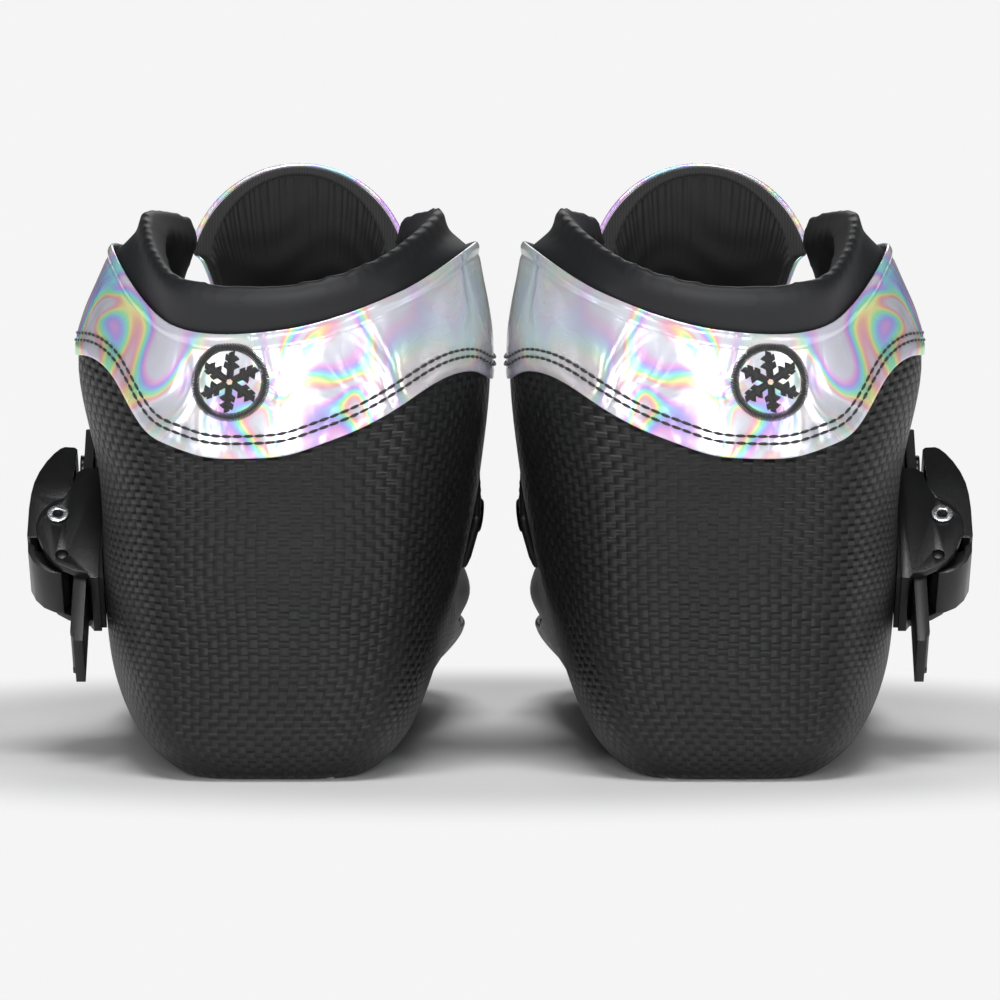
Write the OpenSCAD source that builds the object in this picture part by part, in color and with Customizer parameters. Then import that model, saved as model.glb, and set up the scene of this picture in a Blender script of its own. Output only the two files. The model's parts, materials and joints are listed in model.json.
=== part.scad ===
// Pair of low-cut speed skating boots. Each boot is a carbon shell that carries a
// trim panel, a soft upper, a padded collar, a tongue and a ratchet instep buckle.
// Everything is written for the right boot; the left boot is its mirror image.
// Right boot axes: +X is the outer side, +Y the toe, +Z up, z = 0 under the sole.

/* [Boot] */
// Length of one boot from heel to toe
boot_len = 282; // [240:1:340]
// Width of one boot across the ankle wings
ankle_w = 104; // [86:1:126]
// Height of the trim panel's top edge at the ankle bones
wing_h = 132; // [110:1:160]
// Free gap between the two boots at their ankle wings
boot_gap = 3; // [2:0.5:60]

/* [Shell and upper] */
// Wall of the carbon shell
shell_t = 1.8; // [1.2:0.1:2.4]
// Thickness of the laminated sole
floor_t = 10; // [9:0.5:14]
// Thickness of the trim panel
trim_t = 0.75; // [0.5:0.05:1.2]
// Thickness of the quarters and the vamp
upper_t = 1.2; // [0.8:0.1:1.6]
// Thickness of the lining
lining_t = 0.8; // [0.5:0.1:1.2]
// Thickness of the eyelet stays
stay_t = 0.6; // [0.4:0.1:0.8]
// Thickness of the collar's padding
collar_t = 7.5; // [6:0.5:9]
// Thickness of the tongue
tongue_t = 4; // [3:0.5:5]
// Thickness of the insole
insole_t = 2.5; // [1.5:0.1:2.8]
// Radius of the tongue's binding
binding_r = 1.1; // [0.8:0.1:1.5]

/* [Buckle] */
// Length of the buckle's base plate
base_len = 38; // [34:1:44]
// Thickness of the base plate
base_t = 3; // [2.5:0.1:4]
// Width of the toothed ladder strap
ladder_w = 16; // [12:0.5:20]
// Thickness of the ladder strap under its teeth
ladder_t = 2.4; // [2:0.1:3]
// Height of the ladder's teeth
tooth_h = 0.9; // [0.6:0.1:1.2]
// Pitch of the ladder's teeth
tooth_pitch = 2.5; // [2:0.1:3.5]
// Thickness of the buckle's ears
ear_t = 2; // [1.5:0.1:3]
// Radius of the lever's tubular rivet
lever_pin_r = 2.2; // [1.8:0.1:2.6]
// Radius of the release pin
release_pin_r = 1.5; // [1.2:0.1:1.7]
// Radius of the drive pawl's pin
drive_pin_r = 1.1; // [0.9:0.1:1.3]
// Wall of the lever's two cheeks
cheek_t = 1.6; // [1.2:0.1:2]
// Travel of the ladder strap each way
ladder_travel = 5; // [3:1:6]

/* [Strap] */
// Width of the padded instep strap
strap_w = 19; // [15:1:22]
// Thickness of the padded instep strap
strap_t = 2.5; // [2:0.1:3]
// Radius of the strap screw's shank
screw_r = 2; // [1.5:0.1:2.5]

/* [Mounting blocks] */
// Distance between the front and rear mounting threads
mount_pitch = 195; // [165:1:200]
// Core radius of the M6 mounting threads
thread_r = 2.5; // [2:0.1:3.5]
// Length of a mounting block
block_len = 30; // [24:1:36]
// Width of a mounting block
block_w = 24; // [18:1:28]
// Thickness of a mounting block
block_t = 8; // [6:0.5:8.5]

/* [Hidden] */
layer_gap = 0.3;     // between bonded layers
trim_gap = 0.25;     // between the shell and the trim panel
run_gap = 0.06;      // radial clearance of a running pin
fit_gap = 0.02;      // radial clearance of a fixed pin
side_gap = 0.35;     // between a moving part and its neighbour
$fn = 48;

SIDES = ["left", "right"];
PARTS = ["shell", "trim_panel", "quarter_outer", "quarter_inner", "vamp", "eyelet_stays",
    "eyelets", "collar", "lining", "insole", "tongue", "tongue_binding", "emblem",
    "mount_block_front", "mount_block_rear", "buckle_base", "buckle_spacer", "buckle_bolts",
    "lever", "lever_pin", "lever_spring", "drive_pawl", "drive_pin", "release_lever",
    "release_pin", "release_spring", "ladder_strap", "instep_strap", "strap_rivet", "strap_screw"];

// ---- The last: seven rings of sixteen stations, from the sole (0) to the top edge (6).
// Stations run from the back of the heel round the outer side to the toe and back.
last = [
    [[2, 14, 0], [22, 20, 0], [29, 55, 0], [31, 95, 3], [35, 140, 2], [38, 180, 0], [33, 226, 0],
        [20, 250, 2], [-6, 260, 5], [-22, 250, 2], [-26, 228, 0], [-26, 190, 0], [-23, 145, 3],
        [-20, 100, 5], [-22, 55, 0], [-16, 20, 0]],
    [[2, 6, 9], [29, 13, 9], [38.5, 55, 9], [41, 98, 12], [44, 142, 11], [46, 182, 8], [41, 232, 9],
        [25, 262, 11], [-6, 274, 13], [-27, 262, 11], [-32, 234, 9], [-30, 192, 9], [-32, 147, 12],
        [-29, 102, 14], [-30, 55, 9], [-22, 13, 9]],
    [[0, 1.5, 24], [31, 11, 24], [44, 53, 24], [47, 100, 26], [49, 145, 25], [50, 183, 22],
        [45, 234, 22], [28, 269, 24], [-6, 282, 25], [-32, 268, 24], [-42, 236, 22], [-42, 193, 24],
        [-41, 150, 28], [-36, 103, 28], [-36, 53, 24], [-27, 11, 24]],
    [[0, 0, 45], [32, 11, 45], [46.5, 52, 46], [47, 100, 48], [46, 146, 44], [46, 183, 38],
        [40, 228, 36], [25, 260, 37], [-6, 274, 37], [-28, 259, 37], [-37, 232, 36], [-46.5, 193, 37],
        [-43, 151, 46], [-41, 104, 50], [-42, 52, 46], [-30, 11, 45]],
    [[0, 3, 72], [33, 14, 72], [48, 52, 73], [43, 98, 74], [38, 144, 66], [36, 180, 54],
        [28, 219, 47], [16, 246, 46], [-4, 257, 45], [-19, 245, 46], [-27, 222, 48], [-35, 188, 55],
        [-36, 150, 66], [-42, 102, 74], [-47.5, 52, 73], [-32, 14, 72]],
    [[0, 7, 97], [35, 19, 98], [53.5, 56, 104], [40, 96, 102], [30, 140, 82], [26, 175, 66],
        [18, 207, 56], [9, 228, 52], [-3, 237, 51], [-12, 228, 52], [-18, 209, 57], [-25, 182, 68],
        [-29, 146, 83], [-40, 98, 103], [-50.5, 56, 104], [-35, 19, 100]],
    [[0, 8, 111], [28, 18, 112], [44.2, 54, 131], [31, 92, 122], [19, 134, 93], [16, 168, 74],
        [11, 196, 62], [6, 210, 58], [-1, 215, 57], [-8, 210, 58], [-12, 198, 63], [-17, 172, 75],
        [-20, 138, 93], [-31, 94, 122], [-46.2, 54, 132], [-28, 18, 120]]
];
stations = 16;
top_ring = 6;
kx = ankle_w / 104;
ky = boot_len / 282;
kz = wing_h / 132;
wing_x = 50.5 * kx;                          // of the last at the inner ankle
centre_x = wing_x + trim_gap + trim_t + boot_gap / 2;
centre_y = boot_len / 2;

function spline(a, b, c, d, t) =
    ((2 * b) + (c - a) * t + (2 * a - 5 * b + 4 * c - d) * t * t + (3 * b - a - 3 * c + d) * t * t * t) / 2;
function ring_at(k, u) = let (i = floor(u) + stations, r = last[k], n = stations)
    spline(r[(i - 1) % n], r[i % n], r[(i + 1) % n], r[(i + 2) % n], u - floor(u));
function ring_any(k, u) = k < 0 ? 2 * ring_at(0, u) - ring_at(1, u)
    : k > top_ring ? 2 * ring_at(top_ring, u) - ring_at(top_ring - 1, u) : ring_at(k, u);
// Point of the last at station u and ring v.
function skin(u, v) = let (j = min(floor(v), top_ring - 1),
    p = spline(ring_any(j - 1, u), ring_any(j, u), ring_any(j + 1, u), ring_any(j + 2, u), v - j))
    [p.x * kx, p.y * ky, max(p.z, 0) * kz];
function unit(a) = a / norm(a);
function facing(u, v) = let (e = 0.03)
    unit(cross(skin(u + e, v) - skin(u - e, v), skin(u, min(v + e, top_ring)) - skin(u, max(v - e, 0))));
// Point at height d over the last.
function over(u, v, d) = skin(u, v) + d * facing(u, v);
// Station and ring of the last's point with coordinate k (0 is x, 1 is y) and z given, by Newton's method.
function find_uv(t, z, uv, k = 1, steps = 6) = steps == 0 ? uv : let (e = 0.01, u = uv[0], v = uv[1],
    p = skin(u, v), a = (skin(u + e, v) - p) / e, b = (skin(u, v + e) - p) / e,
    det = a[k] * b.z - a.z * b[k], dt = t - p[k], dz = z - p.z)
    find_uv(t, z, [u + (dt * b.z - dz * b[k]) / det, v + (a[k] * dz - a.z * dt) / det], k, steps - 1);
function side_x(y, z, uv) = let (q = find_uv(y, z, uv)) skin(q[0], q[1]).x;
// Ring at which the surface at height d over the last rises to z, by halving.
function ring_of_z(u, z, d, low = 0, high = 2.4, steps = 12) = let (m = (low + high) / 2)
    steps == 0 ? m : over(u, m, d).z < z ? ring_of_z(u, z, d, m, high, steps - 1)
    : ring_of_z(u, z, d, low, m, steps - 1);

// Columns shared by all layers, fine round the heel and coarser along the foot.
heel_cols = [for (i = [-12:12]) i / 4];
outer_cols = concat([for (i = [8:12]) i / 4], [for (i = [7:12]) i / 2]);
inner_cols = concat([for (i = [20:25]) i / 2], [for (i = [52:56]) i / 4]);
shell_cols = concat([for (i = [0:12]) i / 4], [for (i = [7:25]) i / 2], [for (i = [52:63]) i / 4]);

// Top edge of the shell and the trim panel's lower edge, as rings along the stations.
shell_edge = [[-8, 2.7], [-7, 2.5], [-6, 2.2], [-5, 2], [-4, 2.1], [-3.5, 2.5], [-3, 3.5],
    [-2.5, 4.6], [-2, 5], [-1.5, 5.15], [-1, 5.1], [-0.5, 4.75], [0, 4.52], [0.5, 4.5], [1, 4.7],
    [1.25, 5.15], [1.5, 5.25], [2, 5.2], [2.5, 4.6], [3, 3.7], [3.5, 2.9], [4, 2.3], [5, 2],
    [6, 2.1], [7, 2.5], [8, 2.7]];
trim_edge = [[-3, 4.9], [-2, 4.8], [-1.75, 4.85], [-1.5, 4.95], [-1.25, 4.97], [-1, 4.9],
    [-0.75, 4.72], [-0.5, 4.55], [-0.25, 4.43], [0, 4.32], [0.5, 4.3], [0.75, 4.4], [1, 4.5],
    [1.25, 5], [1.5, 5.1], [2, 5], [3, 5.1]];
function signed_u(u) = u > 8 ? u - stations : u;
function shell_top(u) = lookup(signed_u(u), shell_edge);

// ---- Solids from rows of points.
function flat(rows) = [for (r = rows) for (p = r) p];
function quad(a, b, c, d) = [[a, b, c], [a, c, d]];
// Faces between an outer and an inner sheet of nr rows by nc columns.
function wall_faces(nr, nc, wrap) = let (m = nr * nc, last_c = wrap ? nc - 1 : nc - 2)
    [for (r = [0:nr - 2]) for (c = [0:last_c]) let (a = r * nc + c, b = r * nc + (c + 1) % nc)
        each concat(quad(a, a + nc, b + nc, b), quad(m + a, m + b, m + b + nc, m + a + nc))];
function rim_faces(nr, nc, wrap, row) = let (m = nr * nc, last_c = wrap ? nc - 1 : nc - 2)
    [for (c = [0:last_c]) let (a = row * nc + c, b = row * nc + (c + 1) % nc)
        each row == 0 ? quad(m + a, a, b, m + b) : quad(m + b, b, a, m + a)];
function end_faces(nr, nc) = let (m = nr * nc)
    [for (r = [0:nr - 2]) let (a = r * nc, b = r * nc + nc - 1)
        each concat(quad(m + a + nc, a + nc, a, m + a), quad(m + b, b, b + nc, m + b + nc))];
module sheet_solid(outside, inside, wrap = false) {
    nr = len(outside);
    nc = len(outside[0]);
    faces = concat(wall_faces(nr, nc, wrap), rim_faces(nr, nc, wrap, 0),
        rim_faces(nr, nc, wrap, nr - 1), wrap ? [] : end_faces(nr, nc));
    polyhedron(concat(flat(outside), flat(inside)), faces);
}
// A layer of the boot between heights low and high, over columns cols, between two edges.
module layer(cols, rows, low, high, edges) {
    function line(r, d) = [for (u = cols) let (e = edges[0] == undef ? [0, 0] : [lookup(signed_u(u), edges[0]),
        lookup(signed_u(u), edges[1])]) over(u, e[0] + (e[1] - e[0]) * r / rows, d)];
    sheet_solid([for (r = [0:rows]) line(r, high)], [for (r = [0:rows]) line(r, low)]);
}
// A closed ring of section points at each place along a path.
module swept(sections) {
    n = len(sections);
    k = len(sections[0]);
    sides = [for (i = [0:n - 2]) for (j = [0:k - 1])
        each quad(i * k + j, i * k + (j + 1) % k, (i + 1) * k + (j + 1) % k, (i + 1) * k + j)];
    faces = concat(sides, [[for (j = [k - 1:-1:0]) j]], [[for (j = [0:k - 1]) (n - 1) * k + j]]);
    polyhedron(flat(sections), faces);
}
// A round tube of radius r through points; ref is never along the path.
module tube(points, r, ref, sides = 6) {
    n = len(points);
    swept([for (i = [0:n - 1]) let (t = unit(points[min(i + 1, n - 1)] - points[max(i - 1, 0)]),
        a = unit(cross(ref, t)), b = cross(t, a))
        [for (j = [0:sides - 1]) let (q = -360 * j / sides) points[i] + r * (a * cos(q) + b * sin(q))]]);
}
// Places children with +Z along n at p.
module along(p, n) translate(p) rotate([0, acos(n.z), atan2(n.y, n.x)]) children();

// ---- Shell, panels and upper
shell_rows = 8;
function floor_ring(u) = ring_of_z(u, floor_t, -shell_t);
module shell() {
    n = len(shell_cols);
    outside = [for (r = [0:shell_rows]) [for (u = shell_cols) over(u, shell_top(u) * r / shell_rows, 0)]];
    lows = [for (u = shell_cols) floor_ring(u)];
    inside = [for (r = [0:shell_rows]) [for (i = [0:n - 1]) let (u = shell_cols[i],
        p = over(u, lows[i] + (shell_top(u) - lows[i]) * r / shell_rows, -shell_t))
        r == 0 ? [p.x, p.y, floor_t] : p]];
    m = n * (shell_rows + 1);
    caps = [for (c = [0:n / 2 - 1]) each c == 0 ? [[0, 1, n - 1], [m + n - 1, m + 1, m]]
        : c == n / 2 - 1 ? [[c, c + 1, n - c], [m + n - c, m + c + 1, m + c]]
        : concat(quad(c, c + 1, n - 1 - c, n - c), quad(m + n - c, m + n - 1 - c, m + c + 1, m + c))];
    color("#1b1c1e") difference() {
        polyhedron(concat(flat(outside), flat(inside)), concat(wall_faces(shell_rows + 1, n, true),
            rim_faces(shell_rows + 1, n, true, shell_rows), caps));
        for (y = mount_y) translate([-block_w / 2 - layer_gap / 2, y - block_len / 2 - layer_gap / 2, -1])
            cube([block_w + layer_gap, block_len + layer_gap, block_t + 1 + layer_gap / 2]);
    }
}
module trim_panel() color("#c9ccd6")
    layer(heel_cols, 4, trim_gap, trim_gap + trim_t, [trim_edge, [[-3, top_ring], [3, top_ring]]]);

upper_high = -shell_t - layer_gap;
upper_low = upper_high - upper_t;
upper_rows = 6;
upper_start = [[-8, 1.35], [8, 1.35]];
upper_end = [[-8, 5.95], [-3.25, 5.95], [-3, 5.4], [-2, 5.4], [2, 5.4], [3, 5.4], [3.25, 5.95], [8, 5.95]];
module quarter_outer() color("#202124") layer(outer_cols, upper_rows, upper_low, upper_high, [upper_start, upper_end]);
module quarter_inner() color("#202124") layer(inner_cols, upper_rows, upper_low, upper_high, [upper_start, upper_end]);
seam_u = 0.04;     // half the gap of a butt seam, in stations
module vamp() color("#26272a")
    layer(concat([6 + seam_u], [for (i = [13:19]) i / 2], [10 - seam_u]), upper_rows, upper_low, upper_high,
        [upper_start, upper_end]);
stay_low = upper_high + 2 * layer_gap;
stay_edges = [[[-8, 5.2], [8, 5.2]], [[-8, 5.98], [8, 5.98]]];
module eyelet_stays() color("#c9ccd6") {
    for (first = [7, 18]) layer([for (i = [first:first + 7]) i / 2], 2, stay_low, stay_low + stay_t, stay_edges);
}
eyelet_us = [3.4, 4, 4.55, 5.1, 5.65, 6.2];
module eyelets() color("#2c2d30")
    for (u = concat(eyelet_us, [for (u = eyelet_us) stations - u]))
        along(over(u, 5.62, stay_low + stay_t + 2 * layer_gap), facing(u, 5.62))
            rotate_extrude() translate([1.9, 0]) square([1.5, 0.7]);

// ---- Collar, lining, insole and tongue
rim = [[0, 6, 122], [28, 16, 124.5], [37.5, 58, 139.5], [28, 96, 138], [-29, 96, 138], [-38.5, 58, 140],
    [-24, 15, 128.5]];
// Top line of the collar at signed station u.
function rim_at(u) = let (order = [4, 5, 6, 0, 1, 2, 3], k = min(floor(u + 3), 5), t = u + 3 - k,
    q = [for (d = [-1:2]) rim[order[max(min(k + d, 6), 0)]]], p = spline(q[0], q[1], q[2], q[3], t))
    [p.x * kx, p.y * ky, p.z * kz];
function level(v) = unit([v.x, v.y, 0]);
// The padding is full round the heel and thins towards its front ends.
function padding(u) = collar_t * lookup(abs(u), [[1, 1], [2, 0.85], [3, 0.62]]);
module collar() color("#17181a") {
    deep = upper_low - 2.5 * layer_gap;
    swept([for (u = heel_cols) let (p = rim_at(u), n = level(facing(u, 5.9)), up = [0, 0, 1], t = padding(u))
        [over(u, 4.85, deep - 0.5), over(u, 5.5, deep), over(u, 5.95, -0.4), p + n * 0.8 - up * 4, p + n * 0.2,
            p - n * 1.4 + up * 0.8, p - n * 3.4, p - n * t - up * 6, over(u, 5.3, -t - 0.8),
            over(u, 4.7, -t - 1), over(u, 4.4, (deep - t) / 2)]]);
}
lining_high = upper_low - 2.5 * layer_gap;
lining_end = [[-6, 5.9], [-3.25, 5.9], [-3, 4.15], [3, 4.15], [3.25, 5.9], [6, 5.9]];
module lining() color("#101113")
    layer(concat([-6, -5.5, -5, -4.5, -4, -3.5], heel_cols, [3.5, 4, 4.5, 5, 5.5, 6]), upper_rows,
        lining_high - lining_t, lining_high, [upper_start, lining_end]);
insole_gap = 1.5;
module insole() color("#1e1f22")
    translate([0, 0, floor_t + layer_gap]) linear_extrude(insole_t)
        polygon([for (u = [0:0.5:15.5]) let (p = over(u, floor_ring(u), -shell_t - insole_gap)) [p.x, p.y]]);

// Tongue stations from the toe to its top: centre, outward direction, half width, rise, drop.
tongue_line = [
    [[-1, 206, 54], [0, 0.35, 0.94], 7, 1.5, 0], [[-1, 190, 62.5], [0, 0.45, 0.89], 10.5, 4, 0],
    [[-1.5, 168, 76.5], [0, 0.5, 0.87], 14, 7, 0], [[-1.7, 146, 93.5], [0, 0.6, 0.8], 16.8, 10, 0],
    [[-2, 128, 110], [0, 0.66, 0.75], 19.5, 13, 0], [[-1.4, 117, 122], [0, 0.85, 0.53], 22, 14, 0],
    [[-1, 112, 135], [0, 0.95, 0.3], 25, 12, 6], [[-0.8, 109, 150.5], [0, 0.97, 0.24], 27, 9, 20]];
tongue_bend = 80;
tongue_cols = 10;
function tongue_point(k, a, depth) = let (q = tongue_line[k], w = a * tongue_bend,
    f = (1 - cos(w)) / (1 - cos(tongue_bend)), c = [q[0].x * kx, q[0].y * ky, q[0].z * kz])
    c + [q[2] * kx * sin(w) / sin(tongue_bend), 0, 0] - q[1] * q[3] * f - [0, 0, q[4] * f]
    - depth * ([sin(w), 0, 0] + q[1] * cos(w));
function tongue_rows(depth) = [for (k = [0:len(tongue_line) - 1])
    [for (i = [tongue_cols:-1:0]) tongue_point(k, 2 * i / tongue_cols - 1, depth)]];
module tongue() color("#1a1b1d") sheet_solid(tongue_rows(0), tongue_rows(tongue_t));
module tongue_binding() color("#0e0f10") {
    top = len(tongue_line) - 1;
    out = [0, 0, binding_r + 2 * layer_gap];
    across = [for (i = [0:2 * tongue_cols]) let (a = i / tongue_cols - 1)
        tongue_point(top, a, tongue_t / 2) + out + [sin(a * tongue_bend) * (binding_r + 3 * layer_gap), 0, 0]];
    tube(across, binding_r, [0, 1, 0]);
}

// ---- Emblem: an embroidered ring round a six-armed snow crystal, laid on the trim panel.
emblem_r = 10;
emblem_t = 0.6;
emblem_at = find_uv(13 * kx, 98.4 * kz, [0.36, 5], 0);
// Point of the trim panel a across and b up from the emblem's middle, raised by d.
function on_trim(a, b, d) = let (u = emblem_at[0], v = emblem_at[1], e = 0.03, p = skin(u, v),
    up = unit(skin(u, v + e) - skin(u, v - e)), q = p + a * unit(cross(up, facing(u, v))) + b * up,
    w = find_uv(q.x, q.z, emblem_at, 0, 4)) over(w[0], w[1], trim_gap + trim_t + d);
module patch(outline) {
    n = len(outline);
    points = concat([for (q = outline) on_trim(q.x, q.y, layer_gap + emblem_t)],
        [for (q = outline) on_trim(q.x, q.y, layer_gap)]);
    polyhedron(points, concat([[for (i = [n - 1:-1:0]) i]], [[for (i = [0:n - 1]) n + i]],
        [for (i = [0:n - 1]) each quad(i, (i + 1) % n, n + (i + 1) % n, n + i)]));
}
function circle_row(r, d) = [for (q = [0:10:350]) on_trim(r * cos(q), r * sin(q), d)];
module emblem() color("#0c0c0d") {
    low = layer_gap;
    high = layer_gap + emblem_t;
    sheet_solid([circle_row(emblem_r, low), circle_row(emblem_r, high)],
        [circle_row(emblem_r - 1.3, low), circle_row(emblem_r - 1.3, high)], true);
    for (q = [0:60:300]) patch([for (c = [[1.2, -0.6], [8.2, -0.6], [8.2, 0.6], [1.2, 0.6]])
        [c.x * cos(q) - c.y * sin(q), c.x * sin(q) + c.y * cos(q)]]);
}

// ---- Mounting blocks, flush with the underside of the sole
mount_y = [for (k = [-1, 1]) 129.5 * ky + k * mount_pitch / 2];
module mount_block(y) color("#9a9da2") difference() {
    translate([-block_w / 2, y - block_len / 2, 0]) cube([block_w, block_len, block_t]);
    translate([0, y, -1]) cylinder(r = thread_r, h = block_t + 2);
}

// ---- Buckle frame: s runs along the strap, w across it and h out of the boot.
buckle_y = 75 * ky;
buckle_z = 53.6 * kz;
lean = sqrt(0.5);
function strap_yz(s, w) = [buckle_y + (s - w) * lean, buckle_z + (s + w) * lean];
outer_guess = [2.45, 3.05];
inner_guess = [13.4, 3.1];
function outer_x(s, w) = let (q = strap_yz(s, w)) side_x(q[0], q[1], outer_guess);
base_w = ladder_w + 2 * side_gap + 2 * ear_t;
spacer_min = 0.6;
face_x = max([for (s = [-2:2]) for (w = [-1:1]) outer_x(s * base_len / 4, w * base_w / 2)])
    + trim_gap + spacer_min;
module at_buckle() translate([face_x, buckle_y, buckle_z]) rotate([135, 0, 0]) rotate([0, 90, 0]) children();
// Extrudes an outline in s and h from w0 to w1.
module slab(w0, w1) translate([0, w1, 0]) rotate([90, 0, 0]) linear_extrude(w1 - w0) children();
module rod(s, h, r, w0, w1) translate([s, w1, h]) rotate([90, 0, 0]) cylinder(r = r, h = w1 - w0);

ladder_h = base_t + 0.2;                        // underside of the ladder strap
crest_h = ladder_h + ladder_t + tooth_h;        // top of its teeth
lever_pin = [2.4, crest_h + 4.7];
release_pin = [-11, crest_h + 3.1];
drive_pin = [9.5, crest_h + 3.4];
ear_in = ladder_w / 2 + side_gap;
ear_out = ear_in + ear_t;
lever_w = ladder_w - 0.6;
bolt_s = 13;
bolt_r = 1.5;
bolt_head_r = 2.9;
bolt_head_t = 1.4;
ear = [[-17.5, base_t - 0.5], [-16.8, crest_h - 0.5], [-15.2, crest_h + 2.5], [-13.4, crest_h + 5.1],
    [-10.5, crest_h + 7.1], [-7, crest_h + 8.6], [-3.5, crest_h + 9.8], [-1, crest_h + 10.2], [1.6, crest_h + 9.7],
    [4.6, crest_h + 8.3], [6.8, crest_h + 6], [8.2, crest_h + 3.4], [12, crest_h + 1.6], [17, crest_h + 0.5],
    [18.6, crest_h - 1.6], [18.6, base_t - 0.5]];
module buckle_base() color("#151617") at_buckle() difference() {
    union() {
        slab(-ear_out, ear_out) polygon([[-base_len / 2, 0], [base_len / 2, 0], [base_len / 2, base_t - 1],
            [base_len / 2 - 1.5, base_t], [1.5 - base_len / 2, base_t], [-base_len / 2, base_t - 1]]);
        for (w = [-ear_out, ear_in]) slab(w, w + ear_t) polygon(ear);
    }
    rod(lever_pin[0], lever_pin[1], lever_pin_r + fit_gap, -ear_out - 1, ear_out + 1);
    rod(release_pin[0], release_pin[1], release_pin_r + fit_gap, -ear_out - 1, ear_out + 1);
    for (s = [-bolt_s, bolt_s]) {
        translate([s, 0, -1]) cylinder(r = bolt_r + fit_gap, h = base_t + 2);
        translate([s, 0, base_t - bolt_head_t]) cylinder(r = bolt_head_r + fit_gap, h = bolt_head_t + 1);
    }
}
// Rubber wedge between the curved shell and the flat base plate.
function spacer_rows(top) = [for (i = [-4:4]) [for (j = [-3:3])
    let (s = i * (base_len / 2 - 0.6) / 4, w = j * (ear_out - 0.6) / 3, q = strap_yz(s, w))
    [top ? face_x - 0.01 : outer_x(s, w) + trim_gap, q[0], q[1]]]];
module buckle_spacer() color("#0f1011") sheet_solid(spacer_rows(false), spacer_rows(true));
module buckle_bolts() color("#6f7276") for (s = [-bolt_s, bolt_s]) {
    depth = face_x - outer_x(s, 0) + 1.2;
    at_buckle() {
        translate([s, 0, -depth]) cylinder(r = bolt_r, h = depth + base_t - 0.4);
        translate([s, 0, base_t - bolt_head_t]) cylinder(r = bolt_head_r, h = bolt_head_t - 0.2);
    }
}
lever_top = [[-3, crest_h + 7], [-3.1, crest_h + 11.8], [-2.4, crest_h + 12.5], [7, crest_h + 12.5],
    [12, crest_h + 12.2], [16, crest_h + 11.6], [20, crest_h + 10.5], [24, crest_h + 8.8], [27, crest_h + 7],
    [28.8, crest_h + 5.5], [29.4, crest_h + 4.4], [29.2, crest_h + 1.8], [28.4, crest_h + 1.1],
    [19, crest_h + 1.8], [8, crest_h + 0.7], [2.4, crest_h + 0.6], [-1.4, crest_h + 3]];
lever_hollow = [[-5, 6], [-5, crest_h + 10], [8, crest_h + 9.9], [15, crest_h + 9.2], [20, crest_h + 7.9],
    [24, crest_h + 5.9], [25, crest_h + 4.2], [24, 6]];
// Plan of the lever: its free end narrows from the crease on.
lever_plan = [for (c = [[-5, 1], [15.5, 1], [30, 0.84], [30, -0.84], [15.5, -1], [-5, -1]]) [c[0], c[1] * lever_w / 2]];
module lever() color("#141516") at_buckle() difference() {
    intersection() {
        slab(-lever_w / 2, lever_w / 2) polygon(lever_top);
        linear_extrude(crest_h + 20) polygon(lever_plan);
    }
    slab(cheek_t - lever_w / 2, lever_w / 2 - cheek_t) polygon(lever_hollow);
    rod(lever_pin[0], lever_pin[1], lever_pin_r + run_gap, -lever_w, lever_w);
    rod(drive_pin[0], drive_pin[1], drive_pin_r + fit_gap, -lever_w, lever_w);
}
module lever_pin() color("#c8ccd0") at_buckle() difference() {
    union() {
        rod(lever_pin[0], lever_pin[1], lever_pin_r, -ear_out - 0.1, ear_out + 0.1);
        for (w = [-ear_out - 0.6, ear_out + 0.1])
            rod(lever_pin[0], lever_pin[1], lever_pin_r + 0.6, w, w + 0.5);
    }
    rod(lever_pin[0], lever_pin[1], lever_pin_r - 0.9, -ear_out - 1, ear_out + 1);
}
// Coil about the w axis through a pin, with two straight legs.
function coil(pin, r, w0, w1, turns, from) = [for (i = [0:10 * turns]) let (q = from + 36 * i)
    [pin[0] + r * cos(q), w0 + (w1 - w0) * i / (10 * turns), pin[1] + r * sin(q)]];
module lever_spring() color("#a9adb2") at_buckle() {
    turns = coil(lever_pin, lever_pin_r + 0.75, -3.2, 3.2, 5, 90);
    tube(concat([[5.4, -3.2, lever_pin[1] + 2.6]], turns, [[-0.8, 3.2, lever_pin[1] + 2.6]]), 0.4, [0, 1, 0], 5);
}
module drive_pawl() color("#34363a") at_buckle() difference() {
    slab(1.2 - lever_w / 2 + cheek_t, lever_w / 2 - cheek_t - 1.2)
        polygon([[7.4, drive_pin[1] + 1.2], [8.6, drive_pin[1] + 2.2], [10.8, drive_pin[1] + 2.1],
            [16.5, crest_h + 1.9], [16.2, crest_h + 0.9], [9.5, crest_h + 1.1], [7.6, crest_h + 2]]);
    rod(drive_pin[0], drive_pin[1], drive_pin_r + run_gap, -lever_w, lever_w);
}
module drive_pin() color("#8d9196") at_buckle()
    rod(drive_pin[0], drive_pin[1], drive_pin_r, 0.1 - lever_w / 2, lever_w / 2 - 0.1);
release_half = lever_w / 2 - 1.4;
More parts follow.
